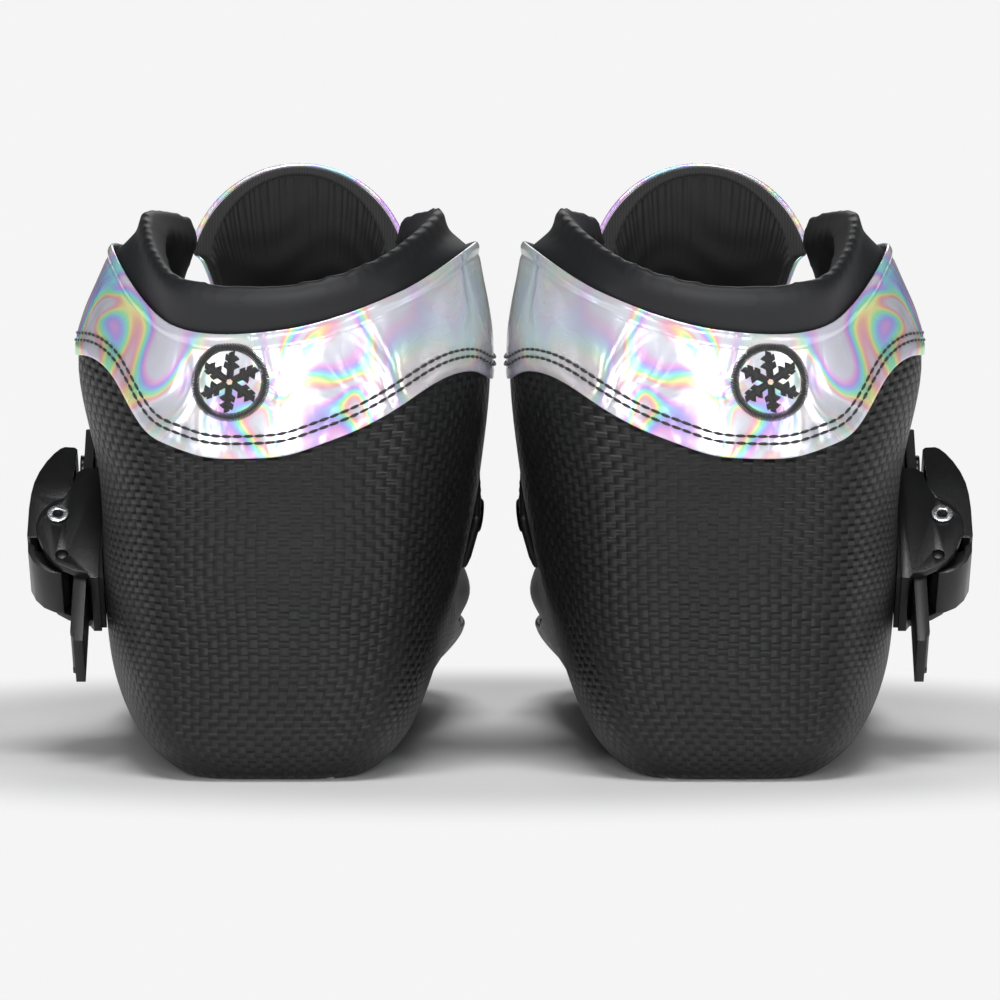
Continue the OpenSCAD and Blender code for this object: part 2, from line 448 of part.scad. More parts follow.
// Outer face of the release lever, from its thumb end round to its heel.
release_back = [[-4.4, crest_h + 12.2], [-7.8, crest_h + 12], [-11, crest_h + 10.6], [-13.5, crest_h + 8.4],
    [-15, crest_h + 5.6], [-15.2, crest_h + 3.2]];
module release_lever() color("#1b1c1e") at_buckle() difference() {
    union() {
        slab(-release_half, release_half) polygon(concat(release_back, [[-13.6, crest_h + 1.6],
            [-9, crest_h + 0.8], [-4.9, crest_h + 0.35], [-4.6, crest_h + 0.8], [-7.3, crest_h + 3], [-7.8, crest_h + 5.1],
            [-7.3, crest_h + 7.8], [-6, crest_h + 10.3]]));
        slab(-lever_w / 2, lever_w / 2) polygon(concat(release_back, [[-14.2, crest_h + 2.6], [-13.4, crest_h + 5.9],
            [-11.4, crest_h + 8.4], [-8.8, crest_h + 10], [-6, crest_h + 10.3]]));
    }
    rod(release_pin[0], release_pin[1], release_pin_r + run_gap, -lever_w, lever_w);
    for (w = [-1, 1]) rod(release_pin[0], release_pin[1], 2.9, w * 3.3 - 1.1, w * 3.3 + 1.1);
}
module release_pin() color("#8d9196") at_buckle()
    rod(release_pin[0], release_pin[1], release_pin_r, 0.1 - ear_out, ear_out - 0.1);
module release_spring() color("#a9adb2") at_buckle()
    for (w = [-1, 1]) tube(coil(release_pin, release_pin_r + 0.75, w * 3.3 - 0.7, w * 3.3 + 0.7, 2, 0), 0.3, [0, 1, 0], 5);

// ---- Ladder strap and instep strap
ladder_low = -38;
strap_screw_s = 27.5;
slot_r = screw_r + 0.25;
ladder_high = strap_screw_s + ladder_travel + slot_r + 2.25;
module ladder_strap() color("#101112") at_buckle() difference() {
    union() {
        translate([0, 0, ladder_h]) linear_extrude(ladder_t) polygon([[ladder_low, -ladder_w / 2],
            [ladder_high - 3, -ladder_w / 2], [ladder_high, 3 - ladder_w / 2], [ladder_high, ladder_w / 2 - 3],
            [ladder_high - 3, ladder_w / 2], [ladder_low, ladder_w / 2]]);
        for (w = [-ladder_w / 2, ladder_w / 2 - 1.6]) slab(w, w + 1.6)
            polygon([[ladder_low + 2, ladder_h + 1], [18, ladder_h + 1], [17, crest_h], [ladder_low + 3, crest_h]]);
        slab(1.6 - ladder_w / 2, ladder_w / 2 - 1.6) polygon(concat([[16, ladder_h + 1], [ladder_low + 2, ladder_h + 1]],
            [for (s = [ladder_low + 2:tooth_pitch:16]) each [[s, ladder_h + ladder_t], [s + tooth_pitch * 0.75, crest_h],
                [s + tooth_pitch * 0.98, crest_h]]]));
    }
    for (c = [-1, 1]) translate([strap_screw_s + c * ladder_travel, 0, ladder_h - 1]) cylinder(r = slot_r, h = 9);
    translate([strap_screw_s - ladder_travel, -slot_r, ladder_h - 1]) cube([2 * ladder_travel, 2 * slot_r, 9]);
}
strap_lift = 0.6;      // of the strap over the last
tail_x = face_x + 0.4;
// Inside line of the instep strap at width w, as [x, s] from its inner end to its tail.
function strap_line(w) = let (rise = 85.2 * kz - 0.15 * w,
    inner = [for (s = [2:10:62]) let (q = strap_yz(s, w)) [side_x(q[0], q[1], inner_guess) - strap_lift, s]],
    outer = [for (s = [62, 57]) [outer_x(s, w) + strap_lift + 0.5 + (62 - s) * 0.15, s]])
    concat(inner, [[-27 * kx, rise - 13], [-16 * kx, rise - 4.5], [-1, rise], [14 * kx, rise - 4], [25.7 * kx, rise - 12.3]],
        outer, [[(outer_x(50, w) + tail_x) / 2 + 0.4, 50], [tail_x - 1.2, 44], [tail_x - 0.2, 39], [tail_x, 34],
            [tail_x, 28], [tail_x, 21.5]]);
function strap_out(line, i, d) = let (n = len(line), t = unit(line[min(i + 1, n - 1)] - line[max(i - 1, 0)]))
    line[i] + d * [-t[1], t[0]];
function strap_rows(d) = [for (w = [-strap_w / 2, 0, strap_w / 2]) let (line = strap_line(w))
    [for (i = [0:len(line) - 1]) let (q = strap_out(line, i, d), p = strap_yz(q[1], w)) [q[0], p[0], p[1]]]];
module instep_strap() color("#131415") sheet_solid(strap_rows(0), strap_rows(strap_t));
rivet_s = 12;
module strap_rivet() color("#8b8f94") {
    q = strap_yz(rivet_s, 0);
    uv = find_uv(q[0], q[1], inner_guess);
    along(over(uv[0], uv[1], 0), facing(uv[0], uv[1])) {
        translate([0, 0, -1.4]) cylinder(r = 2, h = strap_lift + strap_t + 1.6);
        translate([0, 0, strap_lift + strap_t + 0.15]) cylinder(r1 = 5, r2 = 4, h = 1.2);
    }
}
module strap_screw() color("#8b8f94") at_buckle() {
    translate([strap_screw_s, 0, 1]) cylinder(r = screw_r, h = ladder_h + ladder_t);
    translate([strap_screw_s, 0, ladder_h + ladder_t + 0.2]) cylinder(r = 3.6, h = 1.2);
}

// ---- The pair
module boot(side) mirror([side == "left" ? 1 : 0, 0, 0]) translate([centre_x, -centre_y, 0]) children();
for (side = SIDES) {
    boot(side) shell();
    boot(side) trim_panel();
    boot(side) quarter_outer();
    boot(side) quarter_inner();
    boot(side) vamp();
    boot(side) eyelet_stays();
    boot(side) eyelets();
    boot(side) collar();
    boot(side) lining();
    boot(side) insole();
    boot(side) tongue();
    boot(side) tongue_binding();
    boot(side) emblem();
    boot(side) mount_block(mount_y[1]);
    boot(side) mount_block(mount_y[0]);
    boot(side) buckle_base();
    boot(side) buckle_spacer();
    boot(side) buckle_bolts();
    boot(side) lever();
    boot(side) lever_pin();
    boot(side) lever_spring();
    boot(side) drive_pawl();
    boot(side) drive_pin();
    boot(side) release_lever();
    boot(side) release_pin();
    boot(side) release_spring();
    boot(side) ladder_strap();
    boot(side) instep_strap();
    boot(side) strap_rivet();
    boot(side) strap_screw();
}
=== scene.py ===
"""Looks of a pair of carbon speed skating boots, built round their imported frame."""

import json

import bmesh
import bpy
import numpy as np
from mathutils import Matrix, Vector

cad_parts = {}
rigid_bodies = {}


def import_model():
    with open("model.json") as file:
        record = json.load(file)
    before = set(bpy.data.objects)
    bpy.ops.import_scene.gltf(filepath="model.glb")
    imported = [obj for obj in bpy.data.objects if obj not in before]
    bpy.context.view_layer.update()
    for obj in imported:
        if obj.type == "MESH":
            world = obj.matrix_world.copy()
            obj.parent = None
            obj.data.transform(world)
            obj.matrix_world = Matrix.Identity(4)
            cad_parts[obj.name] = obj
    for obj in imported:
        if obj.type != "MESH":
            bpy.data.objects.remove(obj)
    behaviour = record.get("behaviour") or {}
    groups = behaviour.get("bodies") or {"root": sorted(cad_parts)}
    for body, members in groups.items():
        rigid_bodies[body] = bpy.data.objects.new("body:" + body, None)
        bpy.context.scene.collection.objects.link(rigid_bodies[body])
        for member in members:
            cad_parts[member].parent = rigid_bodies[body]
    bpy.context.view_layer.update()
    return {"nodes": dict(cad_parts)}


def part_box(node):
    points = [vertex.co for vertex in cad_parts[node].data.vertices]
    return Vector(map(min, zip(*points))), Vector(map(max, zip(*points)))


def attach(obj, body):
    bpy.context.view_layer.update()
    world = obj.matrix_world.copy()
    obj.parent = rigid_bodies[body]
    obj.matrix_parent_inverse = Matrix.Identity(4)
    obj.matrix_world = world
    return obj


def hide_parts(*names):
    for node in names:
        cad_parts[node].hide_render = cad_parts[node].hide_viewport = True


bl_info = {
    "name": "Speed skating boots",
    "version": (1, 0, 0),
    "blender": (4, 5, 0),
    "location": "3D View > Sidebar > Boots",
    "description": "Builds a pair of carbon speed skating boots with ratchet buckles",
    "category": "Object",
}

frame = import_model()
MM = 0.001

# ---- Places taken from the frame. Pieces are made for the right boot in millimetres, with the
# heel at y = 0, the outer side at +X and the sole at z = 0; the left boot mirrors them.
REAR_BLOCK_Y = 32.0
_block_low, _block_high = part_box("right_mount_block_rear")
BOOT_X = (_block_low.x + _block_high.x) / 2 / MM
BOOT_Y = REAR_BLOCK_Y - (_block_low.y + _block_high.y) / 2 / MM
_plate_low, _plate_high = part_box("right_buckle_base")
BUCKLE = np.array([_plate_low.x / MM - BOOT_X, (_plate_low.y + _plate_high.y) / 2 / MM + BOOT_Y,
                   (_plate_low.z + _plate_high.z) / 2 / MM])
LEAN = 0.5 ** 0.5
SIDES = (("right", 1), ("left", -1))

# ---- The last: seven rings of sixteen stations, from the sole to the top edge.
LAST = np.array([
    [(2, 14, 0), (22, 20, 0), (29, 55, 0), (31, 95, 3), (35, 140, 2), (38, 180, 0), (33, 226, 0),
     (20, 250, 2), (-6, 260, 5), (-22, 250, 2), (-26, 228, 0), (-26, 190, 0), (-23, 145, 3),
     (-20, 100, 5), (-22, 55, 0), (-16, 20, 0)],
    [(2, 6, 9), (29, 13, 9), (38.5, 55, 9), (41, 98, 12), (44, 142, 11), (46, 182, 8), (41, 232, 9),
     (25, 262, 11), (-6, 274, 13), (-27, 262, 11), (-32, 234, 9), (-30, 192, 9), (-32, 147, 12),
     (-29, 102, 14), (-30, 55, 9), (-22, 13, 9)],
    [(0, 1.5, 24), (31, 11, 24), (44, 53, 24), (47, 100, 26), (49, 145, 25), (50, 183, 22),
     (45, 234, 22), (28, 269, 24), (-6, 282, 25), (-32, 268, 24), (-42, 236, 22), (-42, 193, 24),
     (-41, 150, 28), (-36, 103, 28), (-36, 53, 24), (-27, 11, 24)],
    [(0, 0, 45), (32, 11, 45), (46.5, 52, 46), (47, 100, 48), (46, 146, 44), (46, 183, 38),
     (40, 228, 36), (25, 260, 37), (-6, 274, 37), (-28, 259, 37), (-37, 232, 36), (-46.5, 193, 37),
     (-43, 151, 46), (-41, 104, 50), (-42, 52, 46), (-30, 11, 45)],
    [(0, 3, 72), (33, 14, 72), (48, 52, 73), (43, 98, 74), (38, 144, 66), (36, 180, 54),
     (28, 219, 47), (16, 246, 46), (-4, 257, 45), (-19, 245, 46), (-27, 222, 48), (-35, 188, 55),
     (-36, 150, 66), (-42, 102, 74), (-47.5, 52, 73), (-32, 14, 72)],
    [(0, 7, 97), (35, 19, 98), (53.5, 56, 104), (40, 96, 102), (30, 140, 82), (26, 175, 66),
     (18, 207, 56), (9, 228, 52), (-3, 237, 51), (-12, 228, 52), (-18, 209, 57), (-25, 182, 68),
     (-29, 146, 83), (-40, 98, 103), (-50.5, 56, 104), (-35, 19, 100)],
    [(0, 8, 111), (28, 18, 112), (44.2, 54, 131), (31, 92, 122), (19, 134, 93), (16, 168, 74),
     (11, 196, 62), (6, 210, 58), (-1, 215, 57), (-8, 210, 58), (-12, 198, 63), (-17, 172, 75),
     (-20, 138, 93), (-31, 94, 122), (-46.2, 54, 132), (-28, 18, 120)],
], float)
RINGS, STATIONS = LAST.shape[:2]
TOP = RINGS - 1
# Heights over the last of each layer's outside and inside.
SHELL = (0.0, -1.8)
TRIM = (1.0, 0.25)
UPPER = (-2.1, -3.3)
STAY = (-0.9, -1.5)
LINING = (-4.05, -4.85)
FLOOR_Z = 10.0

SHELL_EDGE = [(-8, 2.7), (-7, 2.5), (-6, 2.2), (-5, 2), (-4, 2.1), (-3.5, 2.5), (-3, 3.5), (-2.5, 4.6),
              (-2, 5), (-1.5, 5.15), (-1, 5.1), (-0.5, 4.75), (0, 4.52), (0.5, 4.5), (1, 4.7), (1.25, 5.15),
              (1.5, 5.25), (2, 5.2), (2.5, 4.6), (3, 3.7), (3.5, 2.9), (4, 2.3), (5, 2), (6, 2.1), (7, 2.5),
              (8, 2.7)]
TRIM_EDGE = [(-3, 4.9), (-2, 4.8), (-1.75, 4.85), (-1.5, 4.95), (-1.25, 4.97), (-1, 4.9), (-0.75, 4.72),
             (-0.5, 4.55), (-0.25, 4.43), (0, 4.32), (0.5, 4.3), (0.75, 4.4), (1, 4.5), (1.25, 5),
             (1.5, 5.1), (2, 5), (3, 5.1)]


def spline(a, b, c, d, t):
    """Point at t between b and c on the smooth curve through a, b, c and d."""
    return ((2 * b) + (c - a) * t + (2 * a - 5 * b + 4 * c - d) * t**2 + (3 * b - a - 3 * c + d) * t**3) / 2


def skin(u, v):
    """Points of the last at stations u and rings v."""
    u, v = np.broadcast_arrays(np.asarray(u, float), np.asarray(v, float))
    shape = u.shape
    u, v = u.ravel(), v.ravel()
    i = np.floor(u).astype(int)
    t = (u - i)[None, :, None]
    rings = spline(*(LAST[:, (i + k) % STATIONS] for k in (-1, 0, 1, 2)), t)
    rings = np.concatenate([2 * rings[:1] - rings[1:2], rings, 2 * rings[-1:] - rings[-2:-1]])
    j = np.clip(np.floor(v).astype(int), 0, TOP - 1)
    n = np.arange(len(u))
    p = spline(*(rings[j + k, n] for k in range(4)), (v - j)[:, None])
    p[:, 2] = np.maximum(p[:, 2], 0)
    return p.reshape(shape + (3,))


def unit(a):
    return a / np.maximum(np.linalg.norm(a, axis=-1, keepdims=True), 1e-9)


def slopes(u, v, e=0.03):
    """How the last runs along the stations and up the rings, in millimetres a step."""
    low, high = np.maximum(v - e, 0), np.minimum(v + e, TOP)
    du = (skin(u + e, v) - skin(u - e, v)) / (2 * e)
    dv = (skin(u, high) - skin(u, low)) / np.maximum(high - low, 1e-6)[..., None]
    return du, dv


def facing(u, v):
    du, dv = slopes(u, v)
    return unit(np.cross(du, dv))


def over(u, v, d):
    """Points at height d over the last."""
    u, v, d = np.broadcast_arrays(*(np.asarray(a, float) for a in (u, v, d)))
    return skin(u, v) + d[..., None] * facing(u, v)


def land(points, u, v, steps=5):
    """Stations and rings of the last's points nearest to the given ones."""
    u, v = np.array(u, float), np.array(v, float)
    for _ in range(steps):
        gap = points - skin(u, v)
        du, dv = slopes(u, v)
        a, b, c = (du * du).sum(-1), (du * dv).sum(-1), (dv * dv).sum(-1)
        p, q = (gap * du).sum(-1), (gap * dv).sum(-1)
        det = np.maximum(a * c - b * b, 1e-9)
        u += (c * p - b * q) / det
        v += (a * q - b * p) / det
    return u, v


def wrapped(u):
    """Station numbers from -8 to 8."""
    return (np.asarray(u, float) + 8) % STATIONS - 8


def edge_at(u, edge, closed=True):
    """Ring of an edge line at stations u, smooth through the line's points."""
    x, y = np.array(edge, float).T
    u = wrapped(u) if closed else np.asarray(u, float)
    k = np.clip(np.searchsorted(x, u, side="right") - 1, 0, len(x) - 2)
    slope = np.diff(y) / np.diff(x)
    before = np.concatenate([[slope[0]], slope])
    after = np.concatenate([slope, [slope[-1]]])
    m = np.where(before * after > 0, 2 * before * after / np.where(before + after == 0, 1,
                                                                   before + after), 0)
    h = x[k + 1] - x[k]
    t = np.clip((u - x[k]) / h, 0, 1)
    return (y[k] * (1 + 2 * t) * (1 - t) ** 2 + h * m[k] * t * (1 - t) ** 2
            + y[k + 1] * t * t * (3 - 2 * t) + h * m[k + 1] * t * t * (t - 1))


def ripple(p, size, seed, waves=7):
    """Smooth random height from -1 to 1 at points p, with bumps about size millimetres wide."""
    rng = np.random.default_rng(seed)
    total = 0
    for _ in range(waves):
        way = unit(rng.normal(size=3)) * 2 * np.pi / size * rng.uniform(0.6, 1.4)
        total = total + np.sin(p @ way + rng.uniform(0, 6.3))
    return total / waves * 1.6


# ---- Meshes
def mesh_of(name, points, faces, uv=None, smooth=True):
    """A mesh in the right boot's millimetres; uv holds one pair a vertex."""
    mesh = bpy.data.meshes.new(name)
    mesh.from_pydata(np.asarray(points, float).reshape(-1, 3).tolist(), [], faces)
    mesh.validate()
    if uv is not None:
        index = np.empty(len(mesh.loops), int)
        mesh.loops.foreach_get("vertex_index", index)
        layer = mesh.uv_layers.new(name="cloth")
        layer.data.foreach_set("uv", np.asarray(uv, float).reshape(-1, 2)[index].ravel())
    mesh.shade_smooth() if smooth else mesh.shade_flat()
    return mesh


def ring_faces(rows, sides, closed_rows=False, closed_sides=True):
    """Quads between rows of points, each row one section."""
    faces = []
    for r in range(rows if closed_rows else rows - 1):
        for c in range(sides if closed_sides else sides - 1):
            a, b = r * sides + c, r * sides + (c + 1) % sides
            n = ((r + 1) % rows) * sides
            faces.append((a, b, n + (c + 1) % sides, n + c))
    return faces


def lofted(name, sections, uv=None, closed=False):
    """A closed skin through sections of equal point count; ends are capped unless closed."""
    rows, sides = len(sections), len(sections[0])
    faces = ring_faces(rows, sides, closed)
    if not closed:
        faces.append(tuple(range(sides))[::-1])
        faces.append(tuple((rows - 1) * sides + i for i in range(sides)))
    return mesh_of(name, sections, faces, uv)


def outward(mesh):
    """Turns a closed mesh's faces to point outwards."""
    bm = bmesh.new()
    bm.from_mesh(mesh)
    bmesh.ops.recalc_face_normals(bm, faces=bm.faces)
    bm.to_mesh(mesh)
    bm.free()
    return mesh


def layer_mesh(name, cols, low_edge, high_edge, heights, rows=24, bump=None, round_steps=5):
    """A sheet of the boot with rounded edges, between two edge lines."""
    cols = np.asarray(cols, float)
    low = edge_at(cols, low_edge, closed=False)
    high = edge_at(cols, high_edge, closed=False)
    outer, inner = heights
    f = np.linspace(0, 1, rows + 1)
    turn = np.linspace(0, np.pi, round_steps + 2)[1:-1]
    radius, middle = (outer - inner) / 2, (outer + inner) / 2
    frac = np.concatenate([f, np.ones(len(turn)), f[::-1], np.zeros(len(turn))])
    push = np.concatenate([f * 0, np.sin(turn), f * 0, -np.sin(turn)]) * radius
    lift = np.concatenate([f * 0 + outer, middle + radius * np.cos(turn), f * 0 + inner,
                           middle - radius * np.cos(turn)])
    u = cols[:, None] + 0 * frac
    v = low[:, None] + (high - low)[:, None] * frac
    rise = np.linalg.norm(slopes(u, v)[1], axis=-1)
    d = lift + 0 * u
    if bump is not None:
        top_side = np.concatenate([f * 0 + 1, (1 + np.cos(turn)) / 2, f * 0, (1 - np.cos(turn)) / 2])
        d = d + top_side * bump(u, v, (v - low[:, None]) * rise, (high[:, None] - v) * rise)
    v = v + push / rise
    points = over(u, v, d)
    middle_row = points[:, rows // 2]
    run = np.concatenate([[0], np.cumsum(np.linalg.norm(np.diff(middle_row, axis=0), axis=1))])
    uv = np.stack([run[:, None] + 0 * v, v * 24.0], -1) * MM
    return outward(lofted(name, points, uv))


def in_metres(mesh, sign):
    """A copy of a right boot's mesh, placed in the row frame on one side."""
    copy = mesh.copy()
    move = Matrix.Translation((sign * BOOT_X * MM, -BOOT_Y * MM, 0)) @ Matrix.Diagonal((sign * MM, MM, MM, 1))
    copy.transform(move)
    if sign < 0:
        copy.flip_normals()
    return copy


def both_boots(name, mesh, material, nodes=(), body="boot"):
    """Puts a piece on both boots; nodes are the CAD pieces that it stands for, without their side."""
    made = []
    for side, sign in SIDES:
        placed = bpy.data.objects.new(f"{name}_{side}", in_metres(mesh, sign))
        bpy.context.scene.collection.objects.link(placed)
        if material is not None:
            placed.data.materials.clear()
            placed.data.materials.append(material)
        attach(placed, f"{side}_{body}")
        if nodes:
            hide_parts(*(f"{side}_{n}" for n in nodes))
        made.append(placed)
    bpy.data.meshes.remove(mesh)
    return made


def applied(ob):
    """The mesh of an object with its modifiers applied; the object is removed."""
    graph = bpy.context.evaluated_depsgraph_get()
    mesh = bpy.data.meshes.new_from_object(ob.evaluated_get(graph), depsgraph=graph)
    bpy.data.objects.remove(ob)
    return mesh


def linked(name, mesh):
    ob = bpy.data.objects.new(name, mesh)
    bpy.context.scene.collection.objects.link(ob)
    return ob


def softened(parts, material, body="boot", width=0.25, segments=3, subdivide=0):
    """Rounds the edges of CAD pieces: each gets a bevelled copy that stands for it."""
    for part in parts:
        for side, _ in SIDES:
            node = f"{side}_{part}"
            mesh = frame["nodes"][node].data.copy()
            bm = bmesh.new()
            bm.from_mesh(mesh)
            bmesh.ops.remove_doubles(bm, verts=bm.verts, dist=1e-6)
            if not subdivide:
                bmesh.ops.dissolve_limit(bm, angle_limit=0.01, verts=bm.verts, edges=bm.edges)
            bm.to_mesh(mesh)
            bm.free()
            ob = linked("edges", mesh)
            if subdivide:
                smooth = ob.modifiers.new("round", "SUBSURF")
                smooth.levels = smooth.render_levels = subdivide
            else:
                bevel = ob.modifiers.new("edges", "BEVEL")
                bevel.width = width * MM
                bevel.segments = segments
                bevel.limit_method = "ANGLE"
                bevel.angle_limit = 0.6
                bevel.use_clamp_overlap = True
            piece = linked(f"{part}_finished_{side}", applied(ob))
            piece.data.shade_smooth()
            if not subdivide:
                piece.data.set_sharp_from_angle(angle=0.7)
            piece.data.materials.clear()
            piece.data.materials.append(material)
            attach(piece, f"{side}_{body}")
            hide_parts(node)


# ---- Geometry Nodes
class Tree:
    """A node tree written one node at a time; a node takes values or the outputs of other nodes."""

    def __init__(self, tree):
        self.tree = tree

    def add(self, kind, settings=None, out=0, **inputs):
        node = self.tree.nodes.new(kind)
        for key, value in (settings or {}).items():
            setattr(node, key, value)
        for key, value in inputs.items():
            name = key.replace("_", " ").strip()
            numbered = name[0] == "i" and name[1:].isdigit()
            socket = node.inputs[int(name[1:]) if numbered else name]
            if isinstance(value, bpy.types.NodeSocket):
                self.tree.links.new(value, socket)
            else:
                socket.default_value = value
        return node.outputs[out] if out is not None else node


def geometry_tree(name, inputs):
    """A modifier tree with a Geometry input and named inputs: (tree, input sockets, identifiers)."""
    tree = bpy.data.node_groups.new(name, "GeometryNodeTree")
    tree.is_modifier = True
    tree.interface.new_socket("Geometry", in_out="INPUT", socket_type="NodeSocketGeometry")
    ids = {}
    for label, kind in inputs:
        ids[label] = tree.interface.new_socket(label, in_out="INPUT", socket_type=kind).identifier
    tree.interface.new_socket("Geometry", in_out="OUTPUT", socket_type="NodeSocketGeometry")
    group = tree.nodes.new("NodeGroupInput")
    return Tree(tree), {s.name: s for s in group.outputs if s.name}, ids


def end_tree(t, instances, material):
    """Ends a tree in real geometry with its material."""
    real = t.add("GeometryNodeRealizeInstances", Geometry=instances)
    smooth = t.add("GeometryNodeSetShadeSmooth", Geometry=real)
    done = t.add("GeometryNodeSetMaterial", Geometry=smooth, Material=material)
    out = t.tree.nodes.new("NodeGroupOutput")
    t.tree.links.new(done, out.inputs[0])


def stitch_tree():
    """Stitches laid end to end along an edge-only path."""
    t, io, ids = geometry_tree("Row of stitches", [
        ("Pitch", "NodeSocketFloat"), ("Length", "NodeSocketFloat"), ("Radius", "NodeSocketFloat"),
        ("Material", "NodeSocketMaterial")])
    curve = t.add("GeometryNodeMeshToCurve", Mesh=io["Geometry"])
    points = t.add("GeometryNodeResampleCurve", {"mode": "LENGTH"}, Curve=curve, Length=io["Pitch"])
    way = t.add("FunctionNodeAlignRotationToVector", {"axis": "X"},
                Vector=t.add("GeometryNodeInputTangent"))
    stitch = t.add("GeometryNodeMeshUVSphere", Segments=6, Rings=5, Radius=1.0)
    half = t.add("ShaderNodeMath", {"operation": "MULTIPLY"}, i0=io["Length"], i1=0.5)
    size = t.add("ShaderNodeCombineXYZ", X=half, Y=io["Radius"], Z=io["Radius"])
    laid = t.add("GeometryNodeInstanceOnPoints", Points=points, Instance=stitch, Rotation=way, Scale=size)
    end_tree(t, laid, io["Material"])
    return t.tree, ids


def scatter_tree():
    """Copies of one shape on points that hold their own up, along and size vectors."""
    t, io, ids = geometry_tree("Set on points", [
        ("Shape", "NodeSocketObject"), ("Scale", "NodeSocketFloat"), ("Material", "NodeSocketMaterial")])

    def stored(name):
        return t.add("GeometryNodeInputNamedAttribute", {"data_type": "FLOAT_VECTOR"}, Name=name)

    turn = t.add("FunctionNodeAxesToRotation", {"primary_axis": "Z", "secondary_axis": "X"},
                 Primary_Axis=stored("up"), Secondary_Axis=stored("along"))
    shape = t.add("GeometryNodeObjectInfo", out="Geometry", Object=io["Shape"])
    size = t.add("ShaderNodeVectorMath", {"operation": "SCALE"}, Vector=stored("size"), Scale=io["Scale"])
    laid = t.add("GeometryNodeInstanceOnPoints", Points=io["Geometry"], Instance=shape, Rotation=turn,
                 Scale=size)
    end_tree(t, laid, io["Material"])
    return t.tree, ids


TREES = {}


def run_tree(maker, ob, values):
    """Runs a Geometry Nodes tree on an object and returns the mesh it makes."""
    if maker.__name__ not in TREES:
        TREES[maker.__name__] = maker()
    tree, ids = TREES[maker.__name__]
    mod = ob.modifiers.new("nodes", "NODES")
    mod.node_group = tree
    for label, value in values.items():
        mod[ids[label]] = value
    return applied(ob)


def stitches(paths, material, pitch, length, radius):
    """Mesh of stitches along paths of points."""
    points, edges = [], []
    for path in paths:
        start = len(points)
        points += [tuple(p) for p in path]
        edges += [(start + i, start + i + 1) for i in range(len(path) - 1)]
    mesh = bpy.data.meshes.new("path")
    mesh.from_pydata(points, edges, [])
    return run_tree(stitch_tree, linked("path", mesh),
                    {"Pitch": pitch, "Length": length, "Radius": radius, "Material": material})


def scattered(points, up, along, size, shape, material, scale=1.0):
    """Mesh of copies of shape on points."""
    mesh = bpy.data.meshes.new("points")
    mesh.from_pydata(np.asarray(points, float).tolist(), [], [])
    for name, value in (("up", up), ("along", along), ("size", size)):
        data = mesh.attributes.new(name, "FLOAT_VECTOR", "POINT")
        data.data.foreach_set("vector", (np.asarray(value, float) + 0 * np.asarray(points)).ravel())
    source = linked("shape", shape)
    made = run_tree(scatter_tree, linked("points", mesh),
                    {"Shape": source, "Scale": scale, "Material": material})
    bpy.data.objects.remove(source)
    return made


def turned(name, profile, steps=24):
    """A shape turned about Z from (radius, height) points, closed if it ends on the axis."""
    angle = np.linspace(0, 2 * np.pi, steps, endpoint=False)
    rows = [[(r * np.cos(a), r * np.sin(a), z) for a in angle] for r, z in profile]
    return outward(lofted(name, rows))


# ---- Materials
def shader(name, colour=(0.5, 0.5, 0.5), rough=0.5, **sockets):
    """A Principled material; returns (material, tree writer, shader node)."""
    mat = bpy.data.materials.new(name)
    mat.use_nodes = True
    bsdf = mat.node_tree.nodes["Principled BSDF"]
    bsdf.inputs["Base Color"].default_value = (*colour, 1)
    bsdf.inputs["Roughness"].default_value = rough
    for key, value in sockets.items():
        bsdf.inputs[key.replace("_", " ")].default_value = value
    mat.diffuse_color = (*colour, 1)
    return mat, Tree(mat.node_tree), bsdf


def wire(t, value, bsdf, socket):
    t.tree.links.new(value, bsdf.inputs[socket])


def maths(t, operation, a, b=0.5, c=0.5):
    return t.add("ShaderNodeMath", {"operation": operation}, i0=a, i1=b, i2=c)


def noise(t, where, scale, detail=3.0, rough=0.5, distortion=0.0):
    return t.add("ShaderNodeTexNoise", out="Fac", Vector=where, Scale=scale, Detail=detail, Roughness=rough,
                 Distortion=distortion)


def ramp(t, value, stops, mode="LINEAR"):
    """A colour ramp; stops are (place, colour or grey)."""
    node = t.add("ShaderNodeValToRGB", out=None, Fac=value)
    bar = node.color_ramp
    bar.interpolation = mode
    while len(bar.elements) < len(stops):
        bar.elements.new(0.5)
    for item, (place, colour) in zip(bar.elements, stops):
        item.position = place
        item.color = (*colour, 1) if isinstance(colour, tuple) else (colour, colour, colour, 1)
    return node.outputs["Color"]


def bump(t, bsdf, height, distance, strength=1.0):
    made = t.add("ShaderNodeBump", Height=height, Distance=distance, Strength=strength)
    wire(t, made, bsdf, "Normal")


def place_of(t):
    return t.add("ShaderNodeTexCoord", out="Object")


def cloth_uv(t):
    return t.add("ShaderNodeUVMap", {"uv_map": "cloth"})


def mixed(t, amount, a, b):
    """Mixes two colours."""
    node = t.add("ShaderNodeMix", {"data_type": "RGBA"}, out=None)
    for socket, value in ((node.inputs[0], amount), (node.inputs[6], a), (node.inputs[7], b)):
        if isinstance(value, bpy.types.NodeSocket):
            t.tree.links.new(value, socket)
        else:
            socket.default_value = (*value, 1) if isinstance(value, tuple) else value
    return node.outputs[2]


MATERIALS = {}


def finish_named(name):
    """The finish of that name, made once."""
    if name not in MATERIALS:
        MATERIALS[name] = FINISHES[name]()
    return MATERIALS[name]


